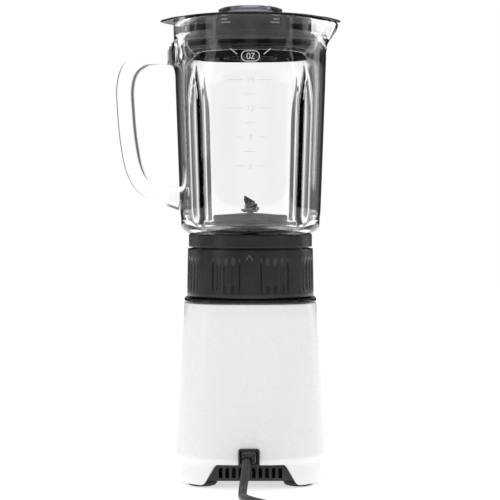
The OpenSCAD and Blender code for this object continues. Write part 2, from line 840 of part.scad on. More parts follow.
// Inner ribs run up the four corners and fade out below the neck.
function corner_rib(q, h) = let (d = abs(((q + 360) % 90) - 45))
  3 * smooth((138 - h) / 26) * smooth((h - 9) / 8) * exp(-pow(d / 6, 2));

function glass_ring(h, a, n, reach, ribs) = [for (i = [0:jug_fn - 1])
  let (q = 360 * i / jug_fn,
       r = square_r(a, n, q) * peak(q, 180, reach * spout_reach, a)
           - ribs * corner_rib(q, h))
  [r * cos(q), r * sin(q), jug_z + h]];
jug_fn = 72;

module glass_jug() {
  inner = jug_wall;
  color(glass) loft([
    glass_ring(-8, 46, 2, 0, 0), glass_ring(0, 46, 2, 0, 0),
    glass_ring(0, 49.5, 2, 0, 0), glass_ring(1, 52.6, 2.1, 0, 0), glass_ring(3.5, 56, 2.3, 0, 0),
    glass_ring(7, 58.2, 2.5, 0, 0), glass_ring(12, jug_half(12), 2.6, 0, 0), glass_ring(22, jug_half(22), 2.6, 0, 0),
    glass_ring(80, jug_half(80), 2.6, 0, 0), glass_ring(120, jug_half(120), squareness(120), 0, 0),
    glass_ring(140, jug_half(140), squareness(140), 0, 0), glass_ring(neck_h, jug_neck_half, 2, 0, 0),
    glass_ring(170, jug_neck_half, 2, lip(170), 0), glass_ring(jug_h - 1.5, jug_neck_half + 0.8, 2, 1, 0),
    glass_ring(jug_h, jug_neck_half, 2, 0.97, 0), glass_ring(jug_h, neck_bore + 3, 2, 1, 0),
    glass_ring(170, neck_bore + 0.8, 2, lip(170) * 0.9, 0), glass_ring(166, neck_bore, 2, 0, 0),
    glass_ring(152, neck_bore, 2, 0, 0), glass_ring(144, jug_half(144) - inner, squareness(144), 0, 0),
    glass_ring(138, jug_half(138) - inner, squareness(138), 0, 1),
    glass_ring(124, jug_half(124) - inner, squareness(124), 0, 1),
    glass_ring(112, jug_half(112) - inner, 2.6, 0, 1), glass_ring(60, jug_half(60) - inner, 2.6, 0, 1),
    glass_ring(22, jug_half(22) - inner, 2.6, 0, 1), glass_ring(12, jug_half(12) - inner, 2.6, 0, 1),
    glass_ring(8, 52.6, 2.5, 0, 0), glass_ring(5.5, 50.2, 2.35, 0, 0), glass_ring(3.8, 46.6, 2.2, 0, 0),
    glass_ring(3, 41, 2, 0, 0), glass_ring(3, ledge_r, 2, 0, 0), glass_ring(-0.5, ledge_r, 2, 0, 0),
    glass_ring(-0.5, carrier_r + 0.7, 2, 0, 0), glass_ring(-8, carrier_r + 0.7, 2, 0, 0)
  ], closed = true);
}

handle_line = [[63.5, 363.8], [78, 363.4], [92, 360.4], [102.6, 351.2], [107.2, 336], [106.6, 314], [104.4, 290],
               [100, 267], [92, 252], [79, 244.4], [59.5, 240.2]];
handle_half = 7.5;

module glass_handle() {
  path = spline([for (p = handle_line) [p[0], 0, p[1]]], 4);
  count = len(path) - 1;
  function flare(i) = 1 + 0.35 * exp(-pow(i / 2.4, 2)) + 0.35 * exp(-pow((count - i) / 2.4, 2));
  color(glass) loft([for (i = [0:count])
    tube_ring(path, i, handle_half * flare(i), handle_t / 2 * flare(i), 16, [0, 1, 0.001])]);
}

// ================= lid =================

ear_r = 5;
ear_at = 72.2;

module lid_outline(grow) {
  hull() {
    circle(r = lid_r + grow, $fn = 96);
    for (s = [-1, 1]) translate([s * ear_at, 0]) circle(r = ear_r + grow, $fn = 24);
  }
}

module lid() {
  plug_z = rim_z - lid_plug;
  color(gloss_black) difference() {
    union() {
      translate([0, 0, rim_z]) linear_extrude(1.5) lid_outline(0);
      translate([0, 0, rim_z + 1.5 - eps]) linear_extrude(1) lid_outline(-1.2);
      post(plug_r, plug_z, rim_z + 1);
      post(filler_hole_r + 4, rim_z, lid_top_z + 1.5);
    }
    rotate_extrude() polygon([
      [filler_hole_r + 2.5, plug_z - 1], [plug_r - 2.5, plug_z - 1], [plug_r - 2.5, rim_z - 1],
      [filler_hole_r + 2.5, rim_z - 1]]);
    post(filler_hole_r, plug_z - 1, lid_top_z + 3);
    translate([0, 0, plug_z - 1]) cylinder(r = filler_hole_r + 3, h = lid_plug - 14);
    ring(plug_r + 1, plug_r - 1.2, rim_z - 24, 3);
  }
}

// Silicone seal with two soft lips, held in the plug's groove.
module lid_seal() {
  z = rim_z - 25.4;
  color(silicone) rotate_extrude() polygon([
    [plug_r, z], [55.5, z], [57.6, z + 1.6], [57.6, z + 2.8], [55.6, z + 4], [55.6, z + 6.6], [57.6, z + 8],
    [57.6, z + 9], [55.5, z + 10.4], [plug_r, z + 10.4], [plug_r, z + 4.4], [plug_r - 1.2, z + 4.4],
    [plug_r - 1.2, z + 1.4], [plug_r, z + 1.4]]);
}

module filler_cap() {
  z = lid_top_z + 1.6;
  cap_top = rim_z + 13;
  color([0.55, 0.52, 0.7, 0.5]) rotate_extrude() polygon([
    [cup_r - 2.4, z - 17], [cup_r, z - 17], [cup_r, z], [cap_r - 7, z + 4], [cap_r - 1, z + 3.6],
    [cap_r, z + 4.4], [cap_r, z + 5.6], [cap_r - 2.5, cap_top - 1.2], [cap_r - 8, cap_top], [0, cap_top],
    [0, cap_top - 2.4], [cup_r - 2.4, cap_top - 2.4]]);
}

housing();
bottom_cover();
feet();
cover_screws();
trim_ring();
top_deck();
deck_screws();
stator_core();
field_coils();
upper_bracket();
lower_bracket();
upper_bearing();
lower_bearing();
motor_bolts();
rubber_mounts();
brush_holders();
carbon_brushes();
speed_switch();
control_board();
interlock_switch();
strain_relief();
cord_lead();
cord_coil();
cord_tail();
cord_tie();
plug_body();
plug_pins();
motor_shaft();
armature_core();
armature_windings();
commutator();
cooling_fan();
drive_coupling();
knob();
knob_spindle();
interlock_pin();
interlock_spring();
locking_collar();
blade_carrier();
shaft_bushes();
shaft_seal();
blade_shaft();
lower_blade();
upper_blade();
blade_nut();
driven_coupling();
gasket();
jug_band();
glass_jug();
glass_handle();
lid();
lid_seal();
filler_cap();
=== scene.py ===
import json
import math

import bmesh
import bpy
import numpy as np
from mathutils import Matrix, Vector


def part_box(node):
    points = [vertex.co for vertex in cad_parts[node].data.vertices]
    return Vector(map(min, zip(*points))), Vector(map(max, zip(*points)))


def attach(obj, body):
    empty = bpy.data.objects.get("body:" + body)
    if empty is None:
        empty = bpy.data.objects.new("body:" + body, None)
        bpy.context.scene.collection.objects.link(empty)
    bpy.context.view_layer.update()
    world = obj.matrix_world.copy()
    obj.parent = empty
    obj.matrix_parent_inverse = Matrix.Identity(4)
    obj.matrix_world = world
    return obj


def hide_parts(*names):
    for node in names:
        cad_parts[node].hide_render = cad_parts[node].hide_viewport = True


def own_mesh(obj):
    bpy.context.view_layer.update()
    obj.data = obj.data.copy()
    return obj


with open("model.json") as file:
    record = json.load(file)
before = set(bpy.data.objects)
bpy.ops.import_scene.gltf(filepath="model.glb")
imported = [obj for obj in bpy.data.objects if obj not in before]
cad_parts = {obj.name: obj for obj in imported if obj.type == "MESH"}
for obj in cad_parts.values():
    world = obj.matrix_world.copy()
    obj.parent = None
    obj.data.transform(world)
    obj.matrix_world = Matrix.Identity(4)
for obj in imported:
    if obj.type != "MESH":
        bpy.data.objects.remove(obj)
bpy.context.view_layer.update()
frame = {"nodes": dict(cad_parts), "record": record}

MM = 0.001

# ---- heights and radii of the design, in millimetres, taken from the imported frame


def low(node):
    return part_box(node)[0] / MM


def high(node):
    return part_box(node)[1] / MM


BODY_TOP = low("trim_ring").z
DECK_TOP = high("trim_ring").z
COLLAR_Z = DECK_TOP + 0.9
COLLAR_TOP = high("locking_collar").z
BAND_Z = COLLAR_TOP + 1.2
JUG_Z = high("jug_band").z
RIM_Z = high("glass_jug").z
JUG_H = RIM_Z - JUG_Z
BODY_HALF = high("housing").x
TOP_HALF = 56.5
WAIST_Z = 26
TAPER = (BODY_HALF - TOP_HALF) / (BODY_TOP - WAIST_Z)
FACE_TILT = math.atan(TAPER)
COLLAR_R = high("locking_collar").x
BAND_R = high("jug_band").x
KNOB_Z = 76
CORD_D = 7
PIN_X = 34        # of the interlock pin, and of the finger that presses it


# ================= camera =================

def make_camera():
    """Eye a little above half the object's height, well behind it, looking slightly down."""
    focal_px, horizon_px, frame_px = 1552, 45, 500
    data = bpy.data.cameras.new("camera")
    data.sensor_width = 36
    data.lens = 36 * focal_px / frame_px
    data.clip_start, data.clip_end = 0.05, 50
    cam = bpy.data.objects.new("camera", data)
    bpy.context.scene.collection.objects.link(cam)
    cam.location = (0.00035, 1.335, 0.2348)
    cam.rotation_euler = (math.pi / 2 - math.atan(horizon_px / focal_px), 0, math.pi)
    bpy.context.scene.camera = cam


make_camera()


# ================= node materials =================

class Nodes:
    """Helpers for building a node tree."""

    def __init__(self, tree):
        self.tree = tree

    def node(self, kind, **settings):
        made = self.tree.nodes.new(kind)
        for key, value in settings.items():
            setattr(made, key, value)
        return made

    def link(self, a, b):
        self.tree.links.new(a, b)

    def remap(self, value, low_in, high_in, low_out, high_out, **settings):
        made = self.node("ShaderNodeMapRange", **settings)
        for key, number in zip(("From Min", "From Max", "To Min", "To Max"),
                               (low_in, high_in, low_out, high_out)):
            made.inputs[key].default_value = number
        self.link(value, made.inputs["Value"])
        return made.outputs["Result"]


class Paint(Nodes):
    """A Principled material with helpers for its procedural detail."""

    def __init__(self, name, colour, rough, metal=0.0, **shader):
        self.mat = bpy.data.materials.new(name)
        self.mat.use_nodes = True
        super().__init__(self.mat.node_tree)
        self.shader = self.tree.nodes["Principled BSDF"]
        self.shader.inputs["Base Color"].default_value = (*colour, 1)
        self.shader.inputs["Roughness"].default_value = rough
        self.shader.inputs["Metallic"].default_value = metal
        for key, value in shader.items():
            self.shader.inputs[key.replace("_", " ")].default_value = value
        self.name, self.rough = name, rough
        self.coords = self.tree.nodes.new("ShaderNodeTexCoord").outputs["Object"]
        self.height = None

    def scaled(self, stretch):
        """Object coordinates stretched per axis, for grain that runs one way."""
        mapping = self.node("ShaderNodeMapping")
        mapping.inputs["Scale"].default_value = stretch
        self.link(self.coords, mapping.inputs["Vector"])
        return mapping.outputs["Vector"]

    def noise(self, scale, detail=3, stretch=None, roughness=0.55):
        made = self.node("ShaderNodeTexNoise")
        made.inputs["Scale"].default_value = scale
        made.inputs["Detail"].default_value = detail
        made.inputs["Roughness"].default_value = roughness
        self.link(self.scaled(stretch) if stretch else self.coords, made.inputs["Vector"])
        return made.outputs["Fac"]

    def vary_rough(self, scale, swing, stretch=None):
        fac = self.noise(scale, 4, stretch)
        self.link(self.remap(fac, 0.3, 0.7, max(0.01, self.rough - swing), self.rough + swing),
                  self.shader.inputs["Roughness"])
        return self

    def tint(self, other, share):
        """Blends the base colour, as it stands, towards another."""
        mix = self.node("ShaderNodeMix", data_type="RGBA")
        base = self.shader.inputs["Base Color"]
        if base.is_linked:
            self.link(base.links[0].from_socket, mix.inputs[6])
        else:
            mix.inputs[6].default_value = tuple(base.default_value)
        mix.inputs[7].default_value = (*other, 1)
        self.link(share, mix.inputs[0])
        self.link(mix.outputs[2], base)
        return self

    def vary_colour(self, scale, other, amount=1.0):
        """Blends towards another colour in soft patches."""
        return self.tint(other, self.remap(self.noise(scale, 5), 0.35, 0.7, 0, amount))

    def bump(self, value, strength, distance):
        made = self.node("ShaderNodeBump")
        made.inputs["Strength"].default_value = strength
        made.inputs["Distance"].default_value = distance
        self.link(value, made.inputs["Height"])
        if self.height is not None:
            self.link(self.height, made.inputs["Normal"])
        self.height = made.outputs["Normal"]
        self.link(self.height, self.shader.inputs["Normal"])
        return self

    def grain(self, scale, strength, distance, stretch=None, detail=3):
        return self.bump(self.noise(scale, detail, stretch), strength, distance)

    def edge_wear(self, colour, amount):
        """Lighter where the surface is sharply convex, as handled edges become."""
        geometry = self.node("ShaderNodeNewGeometry")
        return self.tint(colour, self.remap(geometry.outputs["Pointiness"], 0.52, 0.6, 0, amount))

    def grazing_shade(self, other, start, end):
        """Painted shade: blends the base colour towards a darker one where the surface is seen along its
        skin, standing in for the dark edges that refraction of the surroundings draws on clear parts.
        """
        weight = self.node("ShaderNodeLayerWeight")
        weight.inputs["Blend"].default_value = 0.5
        return self.tint(other, self.remap(weight.outputs["Facing"], start, end, 0, 1))

    def ridges(self, scale, distortion, strength, distance):
        """Fine level ridges, as of stacked sheets or of wires side by side."""
        wave = self.node("ShaderNodeTexWave", bands_direction="Z")
        wave.inputs["Scale"].default_value = scale
        wave.inputs["Distortion"].default_value = distortion
        self.link(self.coords, wave.inputs["Vector"])
        return self.bump(wave.outputs["Fac"], strength, distance)

    def tracks(self, scale, gap):
        """Raised islands with narrow gaps, as of copper tracks under lacquer."""
        cells = self.node("ShaderNodeTexVoronoi", feature="DISTANCE_TO_EDGE")
        cells.inputs["Scale"].default_value = scale
        self.link(self.coords, cells.inputs["Vector"])
        return self.bump(self.remap(cells.outputs["Distance"], 0, gap, 1, 0), 0.3, 0.0002)


MATERIALS = {paint.name: paint.mat for paint in (
    # moulded parts
    Paint("white_shell", (0.84, 0.84, 0.84), 0.27, IOR=1.5).vary_colour(14, (0.83, 0.83, 0.828), 0.5)
    .vary_rough(60, 0.04).grain(420, 0.04, 0.0002).grain(6, 0.012, 0.001),
    Paint("charcoal_plastic", (0.015, 0.015, 0.0155), 0.27, IOR=1.43).vary_colour(30, (0.019, 0.019, 0.0195))
    .vary_rough(90, 0.05).grain(1500, 0.06, 0.0002).grain(300, 0.03, 0.0003)
    .edge_wear((0.045, 0.045, 0.045), 0.5),
    Paint("black_gloss", (0.008, 0.008, 0.009), 0.09, IOR=1.5).vary_colour(40, (0.011, 0.011, 0.012))
    .vary_rough(35, 0.03).grain(12, 0.02, 0.0008).edge_wear((0.03, 0.03, 0.03), 0.5),
    Paint("lid_gloss", (0.006, 0.006, 0.0065), 0.12, IOR=1.34).vary_colour(40, (0.009, 0.009, 0.0095))
    .vary_rough(35, 0.03).grain(12, 0.02, 0.0008).edge_wear((0.02, 0.02, 0.02), 0.4),
    Paint("black_plastic", (0.014, 0.014, 0.015), 0.33).vary_colour(50, (0.02, 0.02, 0.021))
    .vary_rough(80, 0.06).grain(900, 0.12, 0.0002).edge_wear((0.05, 0.05, 0.05), 0.6),
    Paint("red_plastic", (0.42, 0.03, 0.02), 0.35).vary_colour(80, (0.33, 0.02, 0.015))
    .vary_rough(90, 0.06).grain(700, 0.12, 0.0002),
    Paint("fan_nylon", (0.6, 0.58, 0.52), 0.45, Subsurface_Weight=0.1).vary_colour(30, (0.52, 0.5, 0.44))
    .vary_rough(80, 0.08).grain(500, 0.12, 0.0002),
    # soft parts
    Paint("rubber", (0.016, 0.016, 0.016), 0.62).vary_colour(60, (0.026, 0.025, 0.024))
    .vary_rough(120, 0.08).grain(800, 0.25, 0.0003),
    Paint("cord_jacket", (0.05, 0.05, 0.051), 0.38).vary_colour(45, (0.062, 0.062, 0.063))
    .vary_rough(150, 0.05).grain(700, 0.12, 0.0002),
    Paint("silicone", (0.005, 0.005, 0.0055), 0.36, IOR=1.36).vary_colour(40, (0.008, 0.008, 0.0085))
    .vary_rough(90, 0.08).grain(500, 0.05, 0.0002),
    # metal, carbon and the circuit board
    Paint("steel", (0.6, 0.6, 0.61), 0.28, 1.0).vary_colour(25, (0.5, 0.5, 0.51))
    .vary_rough(40, 0.1).grain(180, 0.12, 0.0002, (1, 1, 12)),
    Paint("blade_steel", (0.42, 0.42, 0.43), 0.22, 1.0).vary_colour(60, (0.34, 0.34, 0.35))
    .vary_rough(90, 0.08, (1, 8, 1)).grain(260, 0.2, 0.0002, (14, 1, 1)),
    Paint("lamination", (0.2, 0.2, 0.21), 0.45, 0.8).ridges(320, 0.3, 0.5, 0.0003)
    .vary_colour(50, (0.12, 0.1, 0.08)).vary_rough(60, 0.1),
    Paint("copper", (0.55, 0.2, 0.08), 0.3, 0.9).ridges(220, 1.5, 0.6, 0.0004)
    .vary_colour(70, (0.38, 0.12, 0.04)).vary_rough(80, 0.08),
    Paint("brass", (0.68, 0.5, 0.22), 0.26, 1.0).vary_colour(60, (0.5, 0.35, 0.14))
    .vary_rough(70, 0.09).grain(300, 0.12, 0.0002),
    Paint("carbon", (0.02, 0.02, 0.021), 0.5, 0.2).vary_colour(120, (0.045, 0.045, 0.046))
    .vary_rough(150, 0.1).grain(1200, 0.3, 0.0002),
    Paint("board", (0.015, 0.12, 0.05), 0.3).tracks(160, 0.12).vary_colour(90, (0.03, 0.2, 0.08))
    .vary_rough(90, 0.06),
    # clear parts: wavy from the mould, with painted shade where they are seen along the skin, for the dark
    # edges that refraction draws
    # the grey tint along the skin of the glass is painted shade for its dark refracted edges
    Paint("glass", (0.99, 0.992, 0.991), 0.032, IOR=1.51, Transmission_Weight=1.0)
    .grazing_shade((0.5, 0.51, 0.51), 0.62, 0.98).grain(26, 0.035, 0.0006, (1, 1, 0.35), 2),
    Paint("handle_glass", (0.985, 0.99, 0.988), 0.02, IOR=1.2, Transmission_Weight=1.0)
    .vary_colour(30, (0.965, 0.97, 0.968)).grain(26, 0.03, 0.0006, (1, 1, 0.35), 2),
    # the dark violet along the skin of the cap rim is painted shade for its dark refracted edges
    Paint("violet_clear", (0.88, 0.86, 0.94), 0.03, IOR=1.49, Transmission_Weight=1.0)
    .grazing_shade((0.2, 0.18, 0.34), 0.7, 1.0).grain(60, 0.04, 0.0005),
    Paint("cap_clear", (0.9, 0.89, 0.95), 0.05, IOR=1.5, Transmission_Weight=0.6)
    .grain(60, 0.04, 0.0005).vary_colour(30, (0.86, 0.85, 0.92)),
    # marks
    Paint("printed_mark", (0.62, 0.62, 0.62), 0.5).vary_colour(400, (0.5, 0.5, 0.5))
    .vary_rough(200, 0.08).grain(1200, 0.15, 0.0001),
    Paint("raised_mark", (0.11, 0.11, 0.112), 0.4).vary_colour(300, (0.085, 0.085, 0.087))
    .vary_rough(200, 0.08).grain(900, 0.12, 0.0001),
)}
MARK, RAISED = MATERIALS["printed_mark"], MATERIALS["raised_mark"]

SLOT_OF = {s["node"]: s["material_slot"] for s in frame["record"]["subparts"]}


def paint_cad_nodes():
    for name, obj in frame["nodes"].items():
        obj.data.materials.clear()
        obj.data.materials.append(MATERIALS[SLOT_OF[name]])
        for polygon in obj.data.polygons:
            polygon.material_index = 0


paint_cad_nodes()


# ================= mesh tools =================

def add_mesh(name, verts, faces, body, slot, material=None, replaces=(), smooth_angle=40):
    """A new piece from points in millimetres and faces, riding on a body."""
    mesh = bpy.data.meshes.new(name)
    mesh.from_pydata([tuple(c * MM for c in v) for v in verts], [], faces)
    mesh.validate()
    tidy = bmesh.new()
    tidy.from_mesh(mesh)
    bmesh.ops.remove_doubles(tidy, verts=tidy.verts, dist=2e-6)
    bmesh.ops.recalc_face_normals(tidy, faces=tidy.faces)
    tidy.to_mesh(mesh)
    tidy.free()
    mesh.materials.append(material or MATERIALS[slot])
    obj = bpy.data.objects.new(name, mesh)
    bpy.context.scene.collection.objects.link(obj)
    shade(obj, smooth_angle)
    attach(obj, body)
    if replaces:
        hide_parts(*replaces)
    return obj


def shade(obj, angle):
    """Smooth shading, with edges sharper than the angle kept crisp."""
    mesh = obj.data
    mesh.polygons.foreach_set("use_smooth", [True] * len(mesh.polygons))
    mesh.set_sharp_from_angle(angle=math.radians(angle))


def apply_modifiers(obj):
    depsgraph = bpy.context.evaluated_depsgraph_get()
    made = bpy.data.meshes.new_from_object(obj.evaluated_get(depsgraph))
    old = obj.data
    obj.modifiers.clear()
    obj.data = made
    bpy.data.meshes.remove(old)


def bevel(obj, width, segments=3, angle=35):
    """Rounds the sharp edges and bakes the result into the mesh."""
    mod = obj.modifiers.new("bevel", "BEVEL")
    mod.width = width * MM
    mod.segments = segments
    mod.limit_method = "ANGLE"
    mod.angle_limit = math.radians(angle)
    mod.harden_normals = False
    apply_modifiers(obj)
    shade(obj, 50)
    return obj


def grid_faces(rows, columns, wrap_rows=False):
    """Quads of a grid whose columns always close round."""
    last = rows if wrap_rows else rows - 1
    return [(r * columns + c, r * columns + (c + 1) % columns,
             ((r + 1) % rows) * columns + (c + 1) % columns, ((r + 1) % rows) * columns + c)
            for r in range(last) for c in range(columns)]


def cap_fan(faces, verts, start, columns, centre):
    """Closes one ring of a grid with a fan to a centre point."""
    verts.append(centre)
    tip = len(verts) - 1
    faces += [(start + c, start + (c + 1) % columns, tip) for c in range(columns)]


def shell_of(rings, closed):
    """Vertices and faces of a surface through rings of equal length, capped at both ends unless closed."""
    columns = len(rings[0])
    verts = [tuple(p) for ring in rings for p in ring]
    faces = grid_faces(len(rings), columns, closed)
    if not closed:
        for k in (0, len(rings) - 1):
            centre = np.mean(np.array(rings[k]), axis=0)
            cap_fan(faces, verts, k * columns, columns, tuple(centre))
    return verts, faces


def ring_stack(name, rings, body, slot, closed=True, **rest):
    return add_mesh(name, *shell_of(rings, closed), body, slot, **rest)


def held(rings, margin=0.5, span=3):
    """Adds a ring just inside both ends of every long span, so that walls are shaded flat."""
    made = []
    for a, b in zip(rings, rings[1:] + rings[:1]):
        a, b = np.array(a), np.array(b)
        made.append(a)
        length = float(np.linalg.norm(b - a, axis=1).max())
        if length > span:
            step = (b - a) * (margin / length)
            made += [a + step, b - step]
    return made


def full_turn(count):
    return np.linspace(0, 2 * math.pi, count, endpoint=False)


def polar(r, q, z):
    return r * math.cos(q), r * math.sin(q), z


def turned(profile, columns=128, at=(0, 0)):
    """Rings of a turned shape from (radius, height) pairs."""
    return [[(at[0] + r * math.cos(q), at[1] + r * math.sin(q), z) for q in full_turn(columns)]
            for r, z in profile]


def arc(centre, radius, start, end, steps=6):
    """Points of an arc in a profile, angles in degrees."""
    return [(centre[0] + radius * math.cos(math.radians(q)), centre[1] + radius * math.sin(math.radians(q)))
            for q in np.linspace(start, end, steps)]


def smooth_step(t):
    t = min(1.0, max(0.0, t))
    return t * t * (3 - 2 * t)


def soft_min(a, b, k):
    """The smaller of two numbers, with a rounded corner of size k where they meet."""
    h = max(k - abs(a - b), 0.0) / k
    return min(a, b) - h * h * k / 4


def square_radius(a, n, q):
    """Radius at an angle of a rounded square: n is 2 for a circle, and more for squarer."""
    return a / (abs(math.cos(q)) ** n + abs(math.sin(q)) ** n) ** (1 / n)


def spline(points, steps):
    """Catmull-Rom curve through points, as an array."""
    p = np.array(points, float)
    ends = np.vstack([2 * p[0] - p[1], p, 2 * p[-1] - p[-2]])
    t = np.linspace(0, 1, steps, endpoint=False)[:, None]
    made = []
    for a, b, c, d in zip(ends[:-3], ends[1:-2], ends[2:-1], ends[3:]):
        made.append(0.5 * (2 * b + (c - a) * t + (2 * a - 5 * b + 4 * c - d) * t ** 2
                           + (3 * b - a - 3 * c + d) * t ** 3))
    return np.vstack([*made, p[-1:]])


def sweep_rings(path, section, up):
    """Rings of a cross-section carried along a path. section(i, share) gives (side, up) pairs."""
    path = np.array(path, float)
    count = len(path)
    rings = []
    for i, p in enumerate(path):
        d = path[min(count - 1, i + 1)] - path[max(0, i - 1)]
        d /= np.linalg.norm(d)
        side = np.cross(d, up)
        side /= np.linalg.norm(side)
        rise = np.cross(side, d)
        rings.append([tuple(p + side * a + rise * b) for a, b in section(i, i / (count - 1))])
    return rings


def oval(a, b, sides):
    return [(a * math.cos(q), b * math.sin(q)) for q in full_turn(sides)]


def squircle(wide, tall, n, q):
    """Point at an angle on a rounded oblong: n is 2 for an oval, and more for squarer."""
    c, s = math.cos(q), math.sin(q)
    return wide * math.copysign(abs(c) ** (2 / n), c), tall * math.copysign(abs(s) ** (2 / n), s)


def rounded_box(name, lo, hi, radius, body, slot, segments=4, place=None, **rest):
    """A box with rounded edges between two corners, in millimetres."""
    verts = [(x, y, z) for z in (lo[2], hi[2]) for y in (lo[1], hi[1]) for x in (lo[0], hi[0])]
    if place is not None:
        verts = [tuple(place @ Vector(v)) for v in verts]
    faces = [(0, 2, 3, 1), (4, 5, 7, 6), (0, 1, 5, 4), (2, 6, 7, 3), (0, 4, 6, 2), (1, 3, 7, 5)]
    obj = add_mesh(name, verts, faces, body, slot, **rest)
    return bevel(obj, radius, segments)


# ================= mains lead =================

LEAD = [
    (2.5, 64, 31.5), (2.8, 69, 27.5), (3.4, 74, 22.5), (4.2, 79, 17), (5.2, 85, 11), (6, 92, 6.2),
    (6.3, 100, 3.8), (6, 110, 3.5), (3, 120, 3.5), (-3, 130, 3.5), (-11, 140, 3.5), (-20, 150, 3.5),
    (-29, 160, 3.5), (-37.5, 170, 3.5), (-44.5, 181, 3.5), (-49.5, 193, 3.5), (-52.5, 208, 3.5),
    (-53.5, 226, 3.5)]
TAIL = [(-1.3, 266.1, 10.5), (8.4, 263.5, 10.1), (18, 260.9, 8.9), (27.6, 258.5, 7.8), (37, 256.5, 7),
        (47, 255.4, 7)]
COIL_AT = (-12, 226)
COIL_INNER, COIL_OUTER = 34.5, 41.5
COIL_TURN = 1185          # degrees wound between the lead and the tail
PIN_OFF = 9.3             # of each plug pin from the middle


def coil_points(step=15):
    """One layer wound inwards, then a second on top of it wound outwards."""
    points = []
    for turn in range(step, COIL_TURN, step):
        inward = smooth_step((turn - 300) / 60)
        outward = smooth_step((turn - 850) / 70)
        radius = COIL_OUTER - (COIL_OUTER - COIL_INNER) * (inward - outward)
        height = CORD_D / 2 + CORD_D * smooth_step((turn - 560) / 120)
        q = math.radians(180 - turn)
        points.append((COIL_AT[0] + radius * math.cos(q), COIL_AT[1] + radius * math.sin(q), height))
    return points


def make_cord():
    """The lead from the strain relief to the coil and on to the plug, in one mesh."""
    line = spline(LEAD + coil_points() + TAIL, 4)
    radius = CORD_D / 2
    rings = sweep_rings(line, lambda i, t: oval(radius, radius, 20), np.array((0.03, 0.02, 1.0)))
    cord = ring_stack("mains_lead", rings, "base", "cord_jacket", closed=False,
                      replaces=("cord_lead", "cord_coil", "cord_tail"))


def make_plug():
    """Flat two-pin plug with a ribbed sleeve where the lead enters."""
    lo, hi = low("plug_body"), high("plug_body")
    y, z = 255.4, 7
    stations = [(0, 4.2, 4.2, 2), (1, 4.9, 4.9, 2)]
    for k in range(5):
        x = 2 + k * 2.2
        rib = (5.2 + 0.25 * k, 5.0 + 0.14 * k, 2)
        stations += [(x, 4.4 + 0.18 * k, 4.4 + 0.12 * k, 2), (x + 0.5, *rib), (x + 1.3, *rib),
                     (x + 1.7, 4.5 + 0.18 * k, 4.4 + 0.12 * k, 2)]
    stations += [(13, 6.5, 5.6, 2.2), (15, 8.8, 6.3, 2.6), (18, 11, 6.8, 3), (22, 12.4, 6.95, 3.4),
                 (27, 12.9, 7, 3.8), (32, 13, 7, 4), (33.4, 12.8, 6.8, 4), (34, 12, 6.2, 4)]
    rings = []
    for x, wide, tall, n in stations:
        outline = [squircle(wide, tall, n, q) for q in full_turn(64)]
        rings.append([(lo.x + x, y + side, z + up) for side, up in outline])
    ring_stack("plug_shell", rings, "base", "cord_jacket", closed=False, replaces=("plug_body",))
    for k, side in enumerate((-1, 1)):
        profile = [(0, 2), (17.6, 2), (18.4, 1.7), (18.9, 1.1), (19, 0.6)]
        pin = [[(hi.x + x, y + side * PIN_OFF + r * math.cos(q), z + r * math.sin(q)) for q in full_turn(32)]
               for x, r in profile]
        ring_stack(f"plug_pin_{k + 1}", pin, "base", "brass", closed=False,
                   replaces=("plug_pins",) if k == 0 else ())


def make_tie():
    """Cable tie: a strap round the coil's section, with its head on top."""
    place = Matrix.Translation((COIL_AT[0], COIL_AT[1], 0)) @ Matrix.Rotation(math.radians(100), 4, "Z")
    inner, wide, tall = COIL_INNER - CORD_D / 2, 2 * CORD_D, 2 * CORD_D
    middle = inner + wide / 2
    outline = []
    for cx, cz, a0 in ((wide - 3, tall - 3, 0), (3, tall - 3, 90), (3, 3, 180), (wide - 3, 3, 270)):
        outline += arc((inner + cx, cz), 3, a0, a0 + 90, 7)
    rings = []
    centre = np.array((middle, tall / 2))
    for x, z in outline:
        out = np.array((x, z)) - centre
        out = out / np.linalg.norm(out) * 0.9
        rings.append([tuple(place @ Vector((x - k * out[0], y, z - k * out[1])))
                      for k, y in ((0, -1.8), (0, 1.8), (0.9, 1.8), (0.9, -1.8))])
    ring_stack("cable_tie", rings, "base", "black_plastic", replaces=("cord_tie",))
    rounded_box("cable_tie_head", (middle - 2.4, -2.5, tall - 1), (middle + 2.4, 2.5, tall + 1.3), 0.5,
                "base", "black_plastic", place=place)


make_plug()
make_tie()
make_cord()


# ================= plain shapes of the design =================

BODY_SQUARE = 3
ARCH_HALF, ARCH_TOP, LIP_Z = (40, 29.5), 20.7, 3


def body_half(z):
    """Half-width of the housing by height: a slim foot, a soft step at the waist, then a straight taper."""
    foot = 63.55 + (z - LIP_Z) * 0.045
    wall = BODY_HALF - (max(z, WAIST_Z) - WAIST_Z) * TAPER
    return foot + (wall - foot) * smooth_step((z - 19.5) / 7)


def arch_edge(x):
    side = LIP_Z + (ARCH_HALF[0] - abs(x)) * (ARCH_TOP - LIP_Z) / (ARCH_HALF[0] - ARCH_HALF[1])
    return -soft_min(-LIP_Z, -soft_min(ARCH_TOP, side, 3.5), 3)


def square_ring(half, z, power, columns=192):
    return [polar(square_radius(half, power, q), q, z) for q in full_turn(columns)]


def cut(obj, tool, operation="DIFFERENCE"):
    """Boolean with another mesh, which is then removed."""
    mod = obj.modifiers.new("cut", "BOOLEAN")
    mod.operation = operation
    mod.solver = "EXACT"
    mod.object = tool
    apply_modifiers(obj)
    bpy.data.objects.remove(tool)
    return obj


